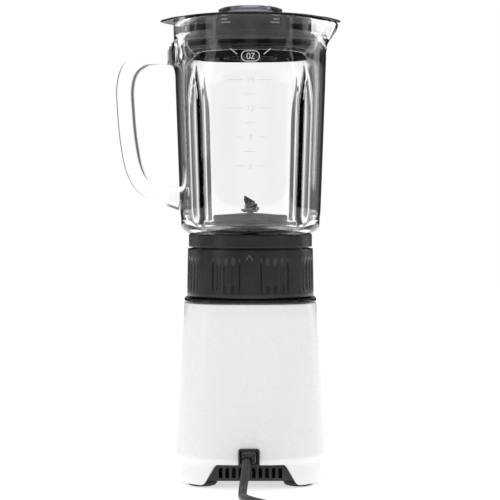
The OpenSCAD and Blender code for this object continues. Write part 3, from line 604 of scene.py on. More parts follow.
def tool_mesh(rings):
    """Throwaway closed solid for a boolean."""
    verts, faces = shell_of(rings, False)
    mesh = bpy.data.meshes.new("tool")
    mesh.from_pydata([tuple(c * MM for c in v) for v in verts], [], faces)
    tidy = bmesh.new()
    tidy.from_mesh(mesh)
    bmesh.ops.recalc_face_normals(tidy, faces=tidy.faces)
    tidy.to_mesh(mesh)
    tidy.free()
    obj = bpy.data.objects.new("tool", mesh)
    bpy.context.scene.collection.objects.link(obj)
    return obj


def post_tool(x, y, r, z0, z1, sides=24):
    return tool_mesh(turned([(r, z0), (r, z1)], sides, (x, y)))


def rect_ring(cx, cz, hx, hz, y, r, sides=6):
    """Rounded rectangle facing along y."""
    ring = []
    for sx, sz, a0 in ((1, 1, 0), (-1, 1, 90), (-1, -1, 180), (1, -1, 270)):
        corner = (cx + sx * (hx - r), cz + sz * (hz - r))
        ring += [(px, y, pz) for px, pz in arc(corner, r, a0, a0 + 90, sides)]
    return ring


# ================= base =================

def make_housing():
    """Tapered shell, open below, with the arch at the back and a slot for the strain relief."""
    angles = sorted(set(np.round(np.concatenate([
        np.linspace(0, 360, 240, endpoint=False), np.arange(50, 70, 0.5), np.arange(110, 130, 0.5)]), 3)))
    edge_r, inner_edge_r, top_r, wall = 0.9, 0.5, 1.2, 3
    flange_z, flange_half, above_waist = BODY_TOP - wall, 44, WAIST_Z + 3
    columns = []
    for q in (math.radians(a) for a in angles):
        reach = square_radius(1, BODY_SQUARE, q)
        edge = LIP_Z
        if math.sin(q) > 0:
            for _ in range(3):
                edge = arch_edge(body_half(edge) * reach * math.cos(q))
        column = []

        def add(half, z):
            column.append(polar(half * reach, q, z))

        for s in np.linspace(0, 1, 5):
            rise = edge_r * (1 - math.cos(s * math.pi / 2))
            inset = edge_r * (1 - math.sin(s * math.pi / 2))
            add(body_half(edge + rise) - inset, edge + rise)
        for z in [*np.linspace(edge + edge_r, above_waist, 17)[1:],
                  *np.linspace(above_waist, BODY_TOP - top_r, 12)[1:]]:
            add(body_half(z), z)
        for s in np.linspace(0, 1, 5)[1:]:
            add(body_half(BODY_TOP) - top_r * (1 - math.cos(s * math.pi / 2)),
                BODY_TOP - top_r * (1 - math.sin(s * math.pi / 2)))
        add(flange_half, BODY_TOP)
        add(flange_half, flange_z)
        add(body_half(flange_z) - wall, flange_z)
        for z in np.linspace(flange_z, edge + inner_edge_r, 12)[1:]:
            add(body_half(z) - wall, z)
        add(body_half(edge) - wall + inner_edge_r, edge)
        columns.append(column)
    rows = [[c[k] for c in columns] for k in range(len(columns[0]))]
    shell = ring_stack("housing_shell", rows, "base", "white_shell", replaces=("housing",), smooth_angle=50)
    lo, hi = low("strain_relief"), high("strain_relief")
    x, z, gap = (lo.x + hi.x) / 2, (ARCH_TOP - 3 + hi.z) / 2, 0.25
    cut(shell, tool_mesh([rect_ring(x, z, (hi.x - lo.x) / 2 + gap, (hi.z - ARCH_TOP + 3) / 2 + gap, y, 2.4)
                          for y in (50, 80)]))
    shade(shell, 50)


def make_trim_ring():
    """Glossy ring between the housing and the deck."""
    outer, inner = high("trim_ring").x - 0.05, 50.2
    z0, z1 = BODY_TOP, DECK_TOP
    profile = [(outer - 0.7, z0), *arc((outer - 0.5, z0 + 0.5), 0.5, -60, 0, 4),
               *arc((outer - 1.5, z1 - 1.5), 1.5, 0, 90, 8), *arc((inner + 0.5, z1 - 0.5), 0.5, 90, 180, 4),
               (inner, z0)]
    ring_stack("gloss_trim", held([square_ring(a, z, BODY_SQUARE, 256) for a, z in profile]), "base",
               "black_gloss", replaces=("trim_ring",), smooth_angle=60)


def make_feet():
    """Round rubber feet with a groove round the side and rings on the sole."""
    at_x, at_y = 40.5, 36.5
    r = (high("feet").x - low("feet").x) / 2 - at_x
    profile = [(0.01, 0.5), (4, 0.5), (4.4, 0), (6.4, 0), (6.8, 0.5), (8, 0.5), (8.4, 0), (r - 3.2, 0),
               (r - 1.6, 0.5), (r - 0.5, 1.8), (r, 3.3), (r, 4), (r - 0.5, 4.3), (r - 0.5, 4.7), (r, 5),
               (r, 5.8), (r - 0.2, 6), (3, 6), (3, 8), (3.9, 8.1), (2.4, 10.2), (0.01, 10.2)]
    for k, (x, y) in enumerate(((1, 1), (-1, 1), (-1, -1), (1, -1))):
        ring_stack(f"rubber_foot_{k + 1}", turned(profile, 72, (x * at_x, y * at_y)), "base", "rubber",
                   closed=False, replaces=("feet",) if k == 0 else (), smooth_angle=45)


def make_strain_relief():
    """Framed block with a hood over the mouth that the lead comes out of."""
    lo, hi = low("strain_relief"), high("strain_relief")
    cx, cz = (lo.x + hi.x) / 2, (lo.z + hi.z) / 2
    hx, hz = (hi.x - lo.x) / 2, (hi.z - lo.z) / 2
    face = 69
    rings = [rect_ring(cx, cz, hx - inset, hz - inset, y, r) for inset, y, r in (
        (0, 55.5, 2.2), (0, face - 0.7, 2.2), (0.25, face - 0.15, 2), (0.7, face, 1.8), (1.5, face, 1.5),
        (1.9, face - 1.2, 1.3))]
    block = ring_stack("lead_clamp", rings, "base", "black_gloss", closed=False, replaces=("strain_relief",))
    hood = tool_mesh([rect_ring(cx, cz + up, wide, tall, face + out, r) for up, wide, tall, out, r in (
        (0.4, 6.7, 5.2, -3, 1.6), (0.4, 6.5, 5, -0.5, 1.6), (0.1, 6, 4.5, 2, 1.6), (-0.3, 5.3, 3.8, 4.4, 1.5),
        (-0.4, 4.7, 3.2, 5.2, 1.3))])
    cut(block, hood, "UNION")
    mouth = tool_mesh([rect_ring(cx + 1.4, cz - 3.4, 4.4, 4.6, y, 1.8) for y in (face - 5, face + 8)])
    cut(block, mouth)
    bevel(block, 0.25, 2, 40)


make_housing()
make_trim_ring()
make_feet()
make_strain_relief()


# ================= marks =================

GLYPHS = {
    "0": [[(0, .2), (0, .8), (.15, 1), (.45, 1), (.6, .8), (.6, .2), (.45, 0), (.15, 0), (0, .2)]],
    "1": [[(.1, .8), (.35, 1), (.35, 0)]],
    "2": [[(0, .8), (.15, 1), (.45, 1), (.6, .8), (.6, .62), (0, 0), (.6, 0)]],
    "5": [[(.6, 1), (0, 1), (0, .58), (.42, .6), (.6, .42), (.6, .18), (.42, 0), (.12, 0), (0, .12)]],
    "6": [[(.5, 1), (.2, .8), (0, .45), (0, .2), (.15, 0), (.45, 0), (.6, .2), (.6, .4), (.45, .55),
           (.05, .5)]],
    "9": [[(.1, 0), (.4, .2), (.6, .55), (.6, .8), (.45, 1), (.15, 1), (0, .8), (0, .6), (.15, .45),
           (.55, .5)]],
    "P": [[(0, 0), (0, 1), (.45, 1), (.6, .85), (.6, .65), (.45, .5), (0, .5)]],
    "o": [[(0, .25), (0, .75), (.15, 1), (.45, 1), (.6, .75), (.6, .25), (.45, 0), (.15, 0), (0, .25)]],
    "z": [[(0, 1), (.6, 1), (0, 0), (.6, 0)]],
}


def glyph_lines(text, u, v, height):
    """Strokes of a short label centred on (u, v)."""
    pitch = 0.85 * height
    left = u - (pitch * (len(text) - 1) + 0.6 * height) / 2
    return [[(left + k * pitch + x * height, v - height / 2 + y * height) for x, y in line]
            for k, ch in enumerate(text) for line in GLYPHS[ch]]


def bar_faces(start, steps):
    """Sides and ends of a four-sided bar, whose sections follow each other from vertex start on."""
    sides = [(a + k, a + (k + 1) % 4, a + 4 + (k + 1) % 4, a + 4 + k)
             for a in range(start, start + 4 * steps, 4) for k in range(4)]
    return sides + [tuple(range(a, a + 4)) for a in (start, start + 4 * steps)]


def stroke_solid(verts, faces, line, width, place, proud, sunk):
    """One bar along a polyline on a surface, mitred at its bends."""
    p = np.array(line, float)
    count = len(p)
    start = len(verts)
    for i in range(count):
        before = p[i] - p[i - 1] if i else p[1] - p[0]
        after = p[i + 1] - p[i] if i < count - 1 else before
        before, after = before / np.linalg.norm(before), after / np.linalg.norm(after)
        bisector = before + after
        bisector /= max(np.linalg.norm(bisector), 1e-6)
        normal = np.array((-bisector[1], bisector[0]))
        grow = width / 2 / max(0.5, float(normal @ np.array((-before[1], before[0]))))
        end = 0.35 * width * ((i == count - 1) * 1.0 - (i == 0) * 1.0)
        for side, rise in ((-1, sunk), (1, sunk), (1, proud), (-1, proud)):
            shrink = 0.85 if rise == proud else 1
            u, v = p[i] + normal * side * grow * shrink + bisector * end
            verts.append(tuple(place(u, v, rise)))
    faces += bar_faces(start, count - 1)


def finer(line, longest):
    """Splits long strokes so that they follow a curved surface."""
    made = [line[0]]
    for a, b in zip(line, line[1:]):
        parts = max(1, int(math.ceil(math.dist(a, b) / longest)))
        made += [(a[0] + (b[0] - a[0]) * k / parts, a[1] + (b[1] - a[1]) * k / parts)
                 for k in range(1, parts + 1)]
    return made


def add_marks(name, lines, width, place, body, slot, material, proud=0.2, sunk=-0.1):
    verts, faces = [], []
    for line in lines:
        stroke_solid(verts, faces, finer(line, 1.5), width, place, proud, sunk)
    return add_mesh(name, verts, faces, body, slot, material=material, smooth_angle=30)


def on_housing_front(u, v, rise):
    z = KNOB_Z + v * math.cos(FACE_TILT)
    half = body_half(z) + rise
    return u, -half * (1 - abs(u / half) ** BODY_SQUARE) ** (1 / BODY_SQUARE), z


def dial_marks():
    """Ticks and positions round the knob, and a thin ring between them and it."""
    ring_r, tick_r, label_r = 22, 22.8, 31
    lines = []
    for a in np.arange(-90, 46, 22.5):
        q = math.radians(a)
        long = 3.4 if abs(a % 45) < 1 else 1.8
        lines.append([(-r * math.sin(q), r * math.cos(q)) for r in (tick_r, tick_r + long)])
    for text, a in (("P", 45), ("0", 0), ("1", -45), ("2", -90)):
        q = math.radians(a)
        lines += glyph_lines(text, -label_r * math.sin(q), label_r * math.cos(q), 4.6)
    add_marks("dial_marks", lines, 0.7, on_housing_front, "base", "charcoal_plastic", RAISED)
    ring = [(ring_r * math.cos(q), ring_r * math.sin(q)) for q in np.linspace(0, 2 * math.pi, 97)]
    add_marks("dial_ring", [ring], 0.5, on_housing_front, "base", "charcoal_plastic", RAISED)


dial_marks()


# ================= knob =================

def make_knob():
    """Speed knob: milled skirt, tapered grip with a finger bar and a white pointer line."""
    place = Matrix.Translation((0, -(BODY_HALF - (KNOB_Z - WAIST_Z) * TAPER), KNOB_Z)) \
        @ Matrix.Rotation(math.pi / 2 - FACE_TILT, 4, "X")
    r, gap, groove = 20, 0.6, 0.35
    profile = [(3.1, 0, 0), (r - 0.8, 0, 0), (r - 0.1, 0.6, 1), (r, 1.2, 1), (r, 2.8, 1), (r - 0.3, 3.6, 1),
               (r - 1, 4, 0), (r - 2.2, 4, 0), (r - 2.5, 4.3, 0), (r - 3.3, 12.6, 0), (r - 3.7, 14.2, 0),
               (r - 4.6, 15, 0), (r - 6, 15.25, 0), (6, 15.4, 0), (3.1, 15.4, 0)]
    rings = [[tuple(place @ Vector(polar(rad - milled * groove * (k % 4 < 2), q, gap + z)))
              for k, q in enumerate(full_turn(288))] for rad, z, milled in profile]
    ring_stack("knob_grip", rings, "speed_knob", "black_gloss", replaces=("knob",), smooth_angle=35)
    rounded_box("knob_bar", (-3, -17.6, gap + 3.9), (3, 17.6, gap + 16.9), 1.2, "speed_knob", "black_gloss",
                place=place)
    rounded_box("knob_pointer", (-0.55, 5, gap + 16.6), (0.55, 16.6, gap + 17.05), 0.15, "speed_knob",
                "black_gloss", 2, place=place, material=MARK)


make_knob()


# ================= interlock spring =================

def make_pin_spring():
    """Compression spring under the interlock pin, closed at both ends."""
    radius, wire, turns, closed, travel = 3.4, 0.35, 6, 0.9, 2.5
    lo, hi = low("interlock_spring").z + wire, high("interlock_spring").z - wire
    close_pitch = 2.1 * wire
    line = []
    for t in np.linspace(0, turns, turns * 24 + 1):
        open_share = min(1, max(0, (t - closed) / (turns - 2 * closed)))
        z = lo + close_pitch * (min(t, closed) + max(0, t - turns + closed)) \
            + open_share * (hi - lo - 2 * closed * close_pitch)
        x, y, z = polar(radius, 2 * math.pi * t, z)
        line.append((PIN_X + x, y, z))
    rings = sweep_rings(line, lambda i, t: oval(wire, wire, 10), np.array((0, 0, 1.0)))
    spring = ring_stack("pin_spring", rings, "interlock", "steel", closed=False,
                        replaces=("interlock_spring",))
    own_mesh(spring)


make_pin_spring()


# ================= collar and band =================

def rib_height(q_deg):
    """0 between ribs and 1 on a rib. Groups of four ribs stand between plain panels, eight times round."""
    off = abs(q_deg % 45 - 22.5)
    if off > 13.2:
        return 1.0
    return smooth_step((0.55 - math.cos(off / 7 * 2 * math.pi)) / 0.9)


def make_collar():
    """Screw collar: ribbed skin, a pierced web that holds the blade carrier, a skirt and the pin's finger."""
    r, bore, web_z, rib_depth = COLLAR_R, 51.7, 176, 0.95
    z0, z1 = COLLAR_Z, COLLAR_TOP
    rib_z0, rib_z1, rib_fade = 160.6, 191.4, 7
    slope = 0.8 / (z1 - 1 - z0)
    profile = [(bore, web_z, 0), (r - 3, z0 + 1, 0), (r - 3, z0 + 0.3, 0), (r - 2.7, z0, 0), (r - 0.5, z0, 0),
               (r - 0.15, z0 + 0.2, 0), (r, z0 + 0.7, 0)]
    for z in (*np.arange(rib_z0, 167, 1), 168, 172, 176, 180, 184, *np.arange(185.4, 192, 1)):
        depth = smooth_step((z - rib_z0) / rib_fade) * smooth_step((rib_z1 - z) / rib_fade)
        profile.append((r - slope * (z - z0), z, depth))
    profile += [(r - slope * (z1 - 2 - z0), z1 - 2, 0),
                *((rad, z, 0) for rad, z in arc((r - 1.6, z1 - 0.9), 0.9, 15, 90, 5)),
                (bore + 0.3, z1, 0), (bore, z1 - 0.4, 0)]
    rings = [[polar(rad - rib_depth * depth * (1 - rib_height(a)), math.radians(a), z)
              for a in np.linspace(0, 360, 720, endpoint=False)] for rad, z, depth in profile]
    ring_stack("collar_skin", held(rings), "blade_unit", "charcoal_plastic", replaces=("locking_collar",),
               smooth_angle=50)

    web = [(12.6, web_z), (bore + 0.4, web_z), (bore + 0.4, web_z + 4), (12.9, web_z + 4),
           (12.6, web_z + 3.7)]
    web = ring_stack("collar_web", turned(web, 144), "blade_unit", "charcoal_plastic")
    holes = post_tool(28, 0, 1.4, 170, 190)
    holes_mesh = bmesh.new()
    for k in range(24):
        holes_mesh.from_mesh(holes.data)
        bmesh.ops.rotate(holes_mesh, verts=holes_mesh.verts, matrix=Matrix.Rotation(math.radians(15), 3, "Z"))
    holes_mesh.to_mesh(holes.data)
    holes_mesh.free()
    cut(web, holes)
    shade(web, 35)
    skirt = [(44, DECK_TOP + 0.4), (44.4, DECK_TOP), (47.6, DECK_TOP), (48, DECK_TOP + 0.4),
             (48, web_z + 0.1), (44, web_z + 0.1)]
    ring_stack("collar_skirt", turned(skirt, 144), "blade_unit", "charcoal_plastic")
    finger = [(0.01, DECK_TOP + 2.5), (2.4, DECK_TOP + 2.5), (3, DECK_TOP + 3.1), (3, web_z + 0.1),
              (0.01, web_z + 0.1)]
    ring_stack("interlock_finger", turned(finger, 32, (PIN_X, 0)), "blade_unit", "charcoal_plastic",
               closed=False)
    make_threads("collar_threads", bore + 0.3, 50.1, 191.4, "blade_unit")

    def on_collar(u, v, rise):
        rad = r - slope * (v - z0) + rise
        return u, math.sqrt(rad * rad - u * u), v

    add_marks("collar_chevron", [[(-1.8, 189.2), (0.8, 193.2), (3.4, 189.2)]], 0.8, on_collar, "blade_unit",
              "charcoal_plastic", RAISED, 0.35)


def make_threads(name, root, crest, z, body):
    """Three climbing ridges, a third of a turn apart."""
    verts, faces = [], []
    steps, lead, span, half = 36, 18, 100, 0.95
    for start in (10, 130, 250):
        base = len(verts)
        for i in range(steps + 1):
            fade = smooth_step(i / 4) * smooth_step((steps - i) / 4)
            q = math.radians(start + span * i / steps)
            h = z + lead * span * i / steps / 360
            tip = root + (crest - root) * (0.25 + 0.75 * fade)
            for rad, dz in ((root, -1.5 * half), (tip, -0.7 * half), (tip, 0.7 * half), (root, 1.5 * half)):
                verts.append(polar(rad, q, h + dz))
        faces += bar_faces(base, steps)
    return add_mesh(name, verts, faces, body, "charcoal_plastic", smooth_angle=50)


def make_band():
    """Smooth band under the glass, with the neck that screws into the collar."""
    r, z0, z1 = BAND_R, BAND_Z, JUG_Z
    neck, bore = 49.5, 46.4
    profile = [(bore, z0 - 13), (neck - 0.6, z0 - 13), (neck, z0 - 12.4), (neck, z0 - 0.2),
               *arc((r - 0.8, z0 + 0.6), 0.6, -90, 0, 5), *arc((r - 1.1, z1 - 0.9), 0.9, 0, 90, 6),
               (bore + 0.4, z1), (bore, z1 - 0.4)]
    ring_stack("band_ring", held(turned(profile, 256)), "jug", "charcoal_plastic", replaces=("jug_band",),
               smooth_angle=50)
    make_threads("band_threads", neck - 0.3, 51.1, 188.6, "jug")


make_collar()
make_band()


# ================= glass jug =================

JUG_LOW, JUG_NECK, GLASS = 60.2, 65.3, 5
NECK_H, SPOUT = 158, 11.5


def jug_half(h):
    if h < 22:
        return JUG_LOW - 0.9 + 0.9 * smooth_step((h - 12) / 10)
    return JUG_LOW + (JUG_NECK - 0.5 - JUG_LOW) * min(1, max(0, (h - 22) / 128))


def squareness(h):
    return 2.6 - 0.6 * smooth_step((h - 120) / 36)


def peak(q, toward, reach, radius):
    """Growth of a ring towards one angle, like tangents drawn to a point, with a rounded tip."""
    if reach <= 0.05:
        return 1.0
    fan = math.acos(radius / (radius + reach))
    off = abs((q - toward + math.pi) % (2 * math.pi) - math.pi)
    off = math.sqrt(off * off + 0.0025)
    return 1.0 if off >= fan else 1 / math.cos(fan - off)


def lip_share(h):
    return smooth_step((h - NECK_H) / (JUG_H - 2 - NECK_H))


def corner_rib(q, h):
    """Depth of the inner rib in each corner, which runs out to a point near the neck."""
    depth, reach = 3.4, 6.5
    off = abs(math.degrees(q) % 90 - 45)
    point = 1 - smooth_step((h - 100) / 38) ** 1.5
    if off >= reach * point:
        return 0
    return depth * math.sqrt(max(0, point)) * smooth_step((h - 7) / 8) \
        * (1 + soft_min(-off / max(0.8, reach * point), 0, 0.2))


def foot_facet(q, radius, h):
    """Cuts the corner diagonally, most at the foot, so that a flat runs up into the round."""
    off = math.radians(abs(math.degrees(q) % 90 - 45))
    flat = 60.4 + 9 * smooth_step((h - 1) / 22) + 1.5 * smooth_step(-(h - 4) / 6)
    return soft_min(radius, flat / max(0.2, math.cos(off)), 0.8)


def glass_ring(h, half, power, reach=0.0, ribs=0.0, facet=False):
    """Outline of the jug's wall at a height, with its lip, corner ribs or corner facets as asked."""
    ring = []
    for q in full_turn(288):
        r = square_radius(half, power, q)
        if reach:
            r *= peak(q, math.pi, reach * SPOUT, half)
        if facet:
            r = foot_facet(q, r, h)
        r -= ribs * corner_rib(q, h)
        ring.append(polar(r, q, JUG_Z + h))
    return ring


def make_jug():
    """Glass wall from the boss under the foot, up to the lip and down the inside, with its handle."""
    rings = [glass_ring(-8, 46, 2), glass_ring(-0.2, 46, 2), glass_ring(-0.2, 49.2, 2)]
    for t in np.linspace(0, 1, 12):
        h = 12 * t ** 1.6
        half = 49.5 + (jug_half(12) - 49.5) * (1 - (1 - t) ** 2.6)
        rings.append(glass_ring(h, half, 2 + 0.6 * smooth_step(t * 1.1), facet=True))
    for h in (14, 17, 20, 23, 27, 34, 50, 80, 104, 116, 124, 132, 138, 144, 150, 154):
        rings.append(glass_ring(h, jug_half(h), squareness(h), facet=h < 40))
    for h in np.linspace(NECK_H, JUG_H - 2, 12):
        rings.append(glass_ring(h, JUG_NECK + 0.6 * lip_share(h), 2, lip_share(h)))
    for a in (25, 50, 75, 90):
        q = math.radians(a)
        rings.append(glass_ring(JUG_H - 2 + 2 * math.sin(q), JUG_NECK - 1.4 + 2 * math.cos(q), 2, 0.98))
    for a in (0, 30, 60, 90):
        q = math.radians(a)
        rings.append(glass_ring(JUG_H - 1.5 + 1.5 * math.cos(q), 61.6 - 1.5 * math.sin(q), 2, 1))
    for h in (174, 170, 168):
        rings.append(glass_ring(h, 59 + (h - 168) / 10, 2, 0.9 * lip_share(h)))
    rings += [glass_ring(166, 58.2, 2), glass_ring(152, 58.2, 2), glass_ring(148, 59, squareness(148))]
    for h in (144, 140, 136, 132, 126, 120, 114, 108, 100, 90, 60, 30, 23, 20):
        rings.append(glass_ring(h, jug_half(h) - GLASS, squareness(h), ribs=1))
    rings += [glass_ring(h, jug_half(h) - GLASS, 2.6, ribs=1, facet=True) for h in (16, 12, 9.5)]
    rings.append(glass_ring(8, 52.6, 2.5, facet=True))
    rings += [glass_ring(h, half, power) for h, half, power in (
        (6.6, 51.6, 2.4), (5.4, 50, 2.3), (4.2, 47.4, 2.2), (3.4, 44, 2.1), (3, 40, 2), (3, 33.4, 2),
        (2.6, 33, 2), (-0.5, 33, 2), (-0.5, 35.7, 2), (-8, 35.7, 2))]
    jug = ring_stack("glass_body", rings, "jug", "glass", replaces=("glass_jug", "glass_handle"),
                     smooth_angle=60)

    line = spline([(x, 0, z) for x, z in (
        (63.5, 363.8), (78, 363.4), (92, 360.4), (102.6, 351.2), (107.2, 336), (106.6, 314), (104.4, 290),
        (100, 267), (92, 252), (79, 244.4), (59.8, 240.2))], 8)

    def section(i, share):
        near = min(share, 1 - share) * (len(line) - 1)
        grow = 1 + 0.35 * math.exp(-(near / 4.2) ** 2)
        return [squircle(7.5 * grow, 6.5 * grow, 5, q) for q in full_turn(64)]

    cut(jug, tool_mesh(sweep_rings(line, section, np.array((0, 1, 0.001)))), "UNION")
    soften_joins(jug, ((63.5, 0, 363.8), (60, 0, 240.2)), 17)
    jug.data.materials.append(MATERIALS["handle_glass"])
    for face in jug.data.polygons:
        if face.center.x / MM > 70 and face.center.z / MM < RIM_Z - 12:
            face.material_index = 1
    shade(jug, 60)


def soften_joins(obj, centres, radius):
    """Melts the glass together where the handle meets the wall, outside only."""
    mesh = bmesh.new()
    mesh.from_mesh(obj.data)
    near = [v for v in mesh.verts
            if any((v.co / MM - Vector(c)).length < radius for c in centres)
            and math.hypot(v.co.x, v.co.y) / MM > 62.4 and v.co.z / MM < RIM_Z - 5]
    for _ in range(12):
        bmesh.ops.smooth_vert(mesh, verts=near, factor=0.5, use_axis_x=True, use_axis_y=True, use_axis_z=True)
    mesh.to_mesh(obj.data)
    mesh.free()


def on_jug_back(u, v, rise):
    h = v - JUG_Z
    half, power = (JUG_NECK if h >= NECK_H else jug_half(h)) + rise, squareness(h)
    return u, half * (1 - abs(u / half) ** power) ** (1 / power), v


def mirrored(lines):
    """Turns lines round for a surface that is seen from behind the object."""
    return [[(-u, v) for u, v in line] for line in lines]


def jug_marks():
    """A unit in a rounded frame near the rim, and a faint scale below it."""
    unit_z = 356.4
    pill = [(sx * 3.4 + 4 * math.cos(q), unit_z + 4.2 * math.sin(q))
            for sx, q in [(1, math.radians(a)) for a in range(-90, 91, 15)]
            + [(-1, math.radians(a)) for a in range(90, 271, 15)]]
    pill.append(pill[0])
    lines = [pill, [(16.4, 362.6), (11, 358)], [(-16.4, 362.6), (-11, 358)],
             *glyph_lines("oz", 0.2, unit_z, 4.2)]
    add_marks("unit_mark", mirrored(lines), 0.65, on_jug_back, "jug", "glass", MARK, 0.12, 0.02)
    ticks = []
    for text, z, long in (("15", 337.1, 17.5), ("12", 314.1, 17.5), ("9", 290.4, 12), ("6", 266.8, 12)):
        ticks += [[(6.5, z), (long, z)], [(-long, z), (-6.5, z)]] + glyph_lines(text, 0, z, 4)
    for z in (325.6, 302.2, 278.6):
        ticks.append([(-4, z), (4, z)])
    add_marks("scale_marks", mirrored(ticks), 0.35, on_jug_back, "jug", "glass", MARK, 0.1, 0.02)


make_jug()
jug_marks()


# ================= lid =================

def lid_ring(grow, z, rise=0.0):
    """Outline of the flange: a circle drawn out to a rounded ear on each side, where it may also rise."""
    radius, ear_at, ear_r = 69.2, 72.2, 5
    ring = []
    for q in full_turn(256):
        c, s = abs(math.cos(q)), abs(math.sin(q))
        tangent = math.acos((radius - ear_r) / ear_at)
        fold = math.atan2(s, c)
        if fold >= tangent:
            r = radius + grow
        else:
            on_edge = (radius + grow) / math.cos(tangent - fold)
            disc = (ear_r + grow) ** 2 - (ear_at * s) ** 2
            r = min(on_edge, ear_at * c + math.sqrt(disc)) if disc > 0 else on_edge
        ring.append(polar(r, q, z + rise * smooth_step((c - 0.8) / 0.19)))
    return ring


def make_lid():
    """Plug lid: a hollow plug with a seal groove, a thin flange with two ears, and a hole for the cap."""
    top, rim, plug, hole = high("lid").z - 1.5, RIM_Z, 52, 19
    foot = rim - 27.5
    wall = [(plug, foot + 0.6), (plug, rim - 24), (plug - 1.2, rim - 24), (plug - 1.2, rim - 21),
            (plug, rim - 21), (plug, rim - 14.2), (plug - 0.5, rim - 13.8), (plug - 0.5, rim - 12.8),
            (plug, rim - 12.4), (plug, rim - 0.8), (plug + 0.8, rim)]
    flange = [(-1.2, 0, 0), (-0.7, 0, 0), (-0.15, 0.2, 0), (0, 0.5, 0.3), (-0.15, 0.8, 0.6), (-0.8, 1.1, 0.9),
              (-2, 1.2, 1.2), (-3.5, 1.3, 1.2)]
    crown = [(60, rim + 1.3), (46, top - 0.9), (30, top - 0.4), (24.5, top), (23.2, top + 0.6),
             (22.8, top + 1.3), (22.2, top + 1.5), (hole + 0.5, top + 1.5), (hole, top + 1.1),
             (hole, rim - 12), (hole + 3, foot + 0.4), (hole + 3.3, foot), (hole + 4, foot),
             (hole + 2.8, rim - 1), (plug - 2.5, rim - 1), (plug - 2.5, foot + 0.5), (plug - 2, foot),
             (plug - 0.6, foot)]
    flange = [lid_ring(grow, rim + z, rise) for grow, z, rise in flange]
    rings = turned(wall, 256) + flange + turned(crown, 256)
    ring_stack("lid_shell", held(rings), "jug_lid", "black_gloss", replaces=("lid",), smooth_angle=45,
               material=MATERIALS["lid_gloss"])

    z = rim - 25.4
    seal = [(plug - 1.2, z + 1.4), (plug, z + 1.4), (plug, z), *arc((54.8, z + 0.8), 0.8, -90, -30, 3),
            *arc((56.9, z + 2.2), 0.7, -40, 60, 6), (55.7, z + 4), (55.5, z + 5.3), (55.7, z + 6.6),
            *arc((56.9, z + 8.4), 0.7, -60, 50, 6), *arc((54.8, z + 9.6), 0.8, 30, 90, 3),
            (plug, z + 10.4), (plug, z + 4.4), (plug - 1.2, z + 4.4)]
    ring_stack("seal_ring", held(turned(seal, 256)), "jug_lid", "silicone", replaces=("lid_seal",),
               smooth_angle=45)

    # Raised grip dashes on the plug wall, pale in the printed-mark colour: a painted highlight for the light
    # they catch.
    verts, faces = [], []

    def on_plug(u, v, rise):
        rad = plug + rise
        return u, math.sqrt(rad * rad - u * u), v

    for side in (-1, 1):
        for u, v, half in ((21.8, 389.6, 3.6), (21, 387.6, 2.3), (19.8, 385.2, 3.2)):
            dash = finer([(side * u - half, v), (side * u + half, v)], 1)
            stroke_solid(verts, faces, dash, 0.8, on_plug, 0.5, -0.2)
    add_mesh("grip_dashes_painted_highlight", verts, faces, "jug_lid", "black_gloss", material=MARK, smooth_angle=30)


def make_cap():
    """Clear filler cap: a hollow cup with a flat top, inside a violet rim that slopes to a thin edge."""
    z = high("lid").z + 0.1
    r, cup, top = high("filler_cap").x, 18.6, high("filler_cap").z
    cup_profile = [(cup - 2.3, z - 16.6), (cup - 1.6, z - 17), (cup - 0.7, z - 17), (cup, z - 16.4),
                   (cup, z - 0.3), (cup - 0.4, z + 4), (15.2, z + 6.2), (14.6, top - 0.8), (13.8, top),
                   (0.01, top), (0.01, top - 2.2), (cup - 5, top - 2.2), (cup - 4.2, top - 2.6),
                   (cup - 2.7, top - 5), (cup - 2.4, top - 6)]
    ring_stack("cap_cup", turned(cup_profile, 192), "cap", "violet_clear", replaces=("filler_cap",),
               smooth_angle=40, material=MATERIALS["cap_clear"])
    rim_profile = [(14.9, top - 0.2), (15.5, z + 6.3), (cup, z + 4.3), (cup + 3, z + 4.6), (r - 1.6, z + 5.3),
                   *arc((r - 0.8, z + 6.1), 0.8, -80, 70, 8), (r - 3, top - 1.2), (r - 7, top - 0.55),
                   (15.6, top - 0.05)]
    ring_stack("cap_rim", turned(rim_profile, 192), "cap", "violet_clear", smooth_angle=50)


make_lid()
make_cap()


# ================= light and floor =================

DIFFUSE_LEVEL, GLOSSY_LEVEL, CARD_LEVEL, DIAGONAL_LEVEL = 0.68, 0.2, 0.15, 0.6


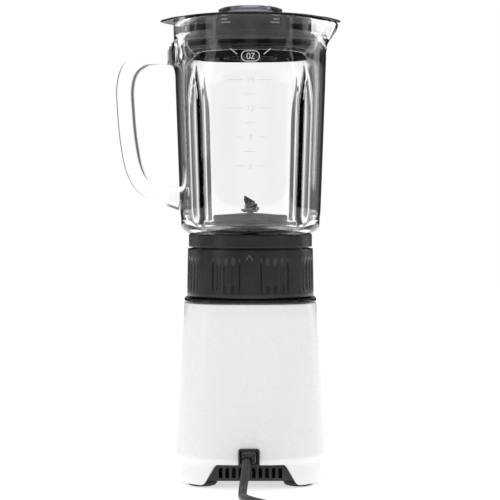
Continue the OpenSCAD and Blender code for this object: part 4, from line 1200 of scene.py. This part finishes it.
def make_world():
    """White studio. Away from the eight main directions it holds dark cards, which draw the glass edges."""
    world = bpy.data.worlds.new("studio")
    bpy.context.scene.world = world
    world.use_nodes = True
    nodes = Nodes(world.node_tree)
    nodes.tree.nodes.clear()
    node, link = nodes.node, nodes.link

    def maths(op, *values):
        made = node("ShaderNodeMath", operation=op)
        for k, value in enumerate(values):
            if isinstance(value, (int, float)):
                made.inputs[k].default_value = value
            else:
                link(value, made.inputs[k])
        return made.outputs[0]

    def remap(value, *limits):
        return nodes.remap(value, *limits, interpolation_type="SMOOTHSTEP")

    split = node("ShaderNodeSeparateXYZ")
    link(node("ShaderNodeTexCoord").outputs["Generated"], split.inputs[0])
    x, y, z = split.outputs
    azimuth = maths("ARCTAN2", y, x)
    quarter = maths("COSINE", maths("MULTIPLY", azimuth, 4))
    square_on = remap(quarter, 0.72, 0.9, CARD_LEVEL, 1.03)
    diagonal = remap(quarter, -0.65, -0.3, DIAGONAL_LEVEL, CARD_LEVEL)
    overhead = remap(z, 0.45, 0.85, 0, 0.9)
    below = remap(z, -0.5, -0.2, 0.9, 0)
    through = maths("MAXIMUM", maths("MAXIMUM", square_on, diagonal), maths("MAXIMUM", overhead, below))
    light_path = node("ShaderNodeLightPath")
    scattered = maths("GREATER_THAN", light_path.outputs["Diffuse Depth"], 0.5)
    mirrored = maths("MULTIPLY", maths("GREATER_THAN", light_path.outputs["Glossy Depth"], 0.5),
                     maths("SUBTRACT", 1.0, scattered))
    clear = maths("SUBTRACT", 1.0, maths("ADD", scattered, mirrored))
    level = maths("ADD", maths("MULTIPLY", scattered, DIFFUSE_LEVEL), maths("MULTIPLY", through, maths(
        "ADD", clear, maths("MULTIPLY", mirrored, GLOSSY_LEVEL))))
    seen, lit = node("ShaderNodeBackground"), node("ShaderNodeBackground")
    for background in (seen, lit):
        background.inputs["Color"].default_value = (1, 1, 1, 1)
    link(level, lit.inputs["Strength"])
    mix = node("ShaderNodeMixShader")
    link(light_path.outputs["Is Camera Ray"], mix.inputs[0])
    link(lit.outputs[0], mix.inputs[1])
    link(seen.outputs[0], mix.inputs[2])
    link(mix.outputs[0], node("ShaderNodeOutputWorld").inputs[0])
    world.cycles.sampling_method = "NONE"


def add_softbox(name, at, target, size, watts):
    data = bpy.data.lights.new(name, "AREA")
    data.shape = "RECTANGLE"
    data.size, data.size_y = size
    data.energy = watts
    obj = bpy.data.objects.new(name, data)
    bpy.context.scene.collection.objects.link(obj)
    obj.location = at
    obj.rotation_euler = (Vector(target) - Vector(at)).to_track_quat("-Z", "Y").to_euler()
    obj.visible_camera = False


def make_floor():
    """Seamless white table top. Its far edge lies against the equally white studio, so it does not show."""
    paint = Paint("floor_white", (0.9, 0.9, 0.9), 0.8)
    paint.vary_colour(3, (0.88, 0.88, 0.88)).vary_rough(30, 0.05).grain(200, 0.05, 0.0002)
    paint.shader.inputs["Specular IOR Level"].default_value = 0.1
    paint.shader.inputs["Emission Color"].default_value = (1, 1, 1, 1)
    paint.shader.inputs["Emission Strength"].default_value = 0.62
    mesh = bpy.data.meshes.new("floor")
    half, z = 3, -0.0004
    corners = [(-half, -half, z), (half, -half, z), (half, half, z), (-half, half, z)]
    mesh.from_pydata(corners, [], [(0, 1, 2, 3)])
    mesh.materials.append(paint.mat)
    floor = bpy.data.objects.new("floor", mesh)
    bpy.context.scene.collection.objects.link(floor)


make_world()
for light, x, y, wide, watts in (
        ("key_rear_left", 1.8, 1.05, 0.7, 4.5), ("key_rear_right", -1.85, 1.0, 0.2, 1.6),
        ("front_left", -1.8, -1.05, 0.7, 4.5), ("front_right", 1.85, -1.0, 0.25, 1.8)):
    add_softbox(light, (x, y, 0.95), (0, 0, 0.22), (wide, 1.6), watts)
add_softbox("overhead", (0, 0, 2.2), (0, 0, 0), (1.6, 1.6), 5)
make_floor()

view = bpy.context.scene.view_settings
view.view_transform = "Standard"
view.look = "None"
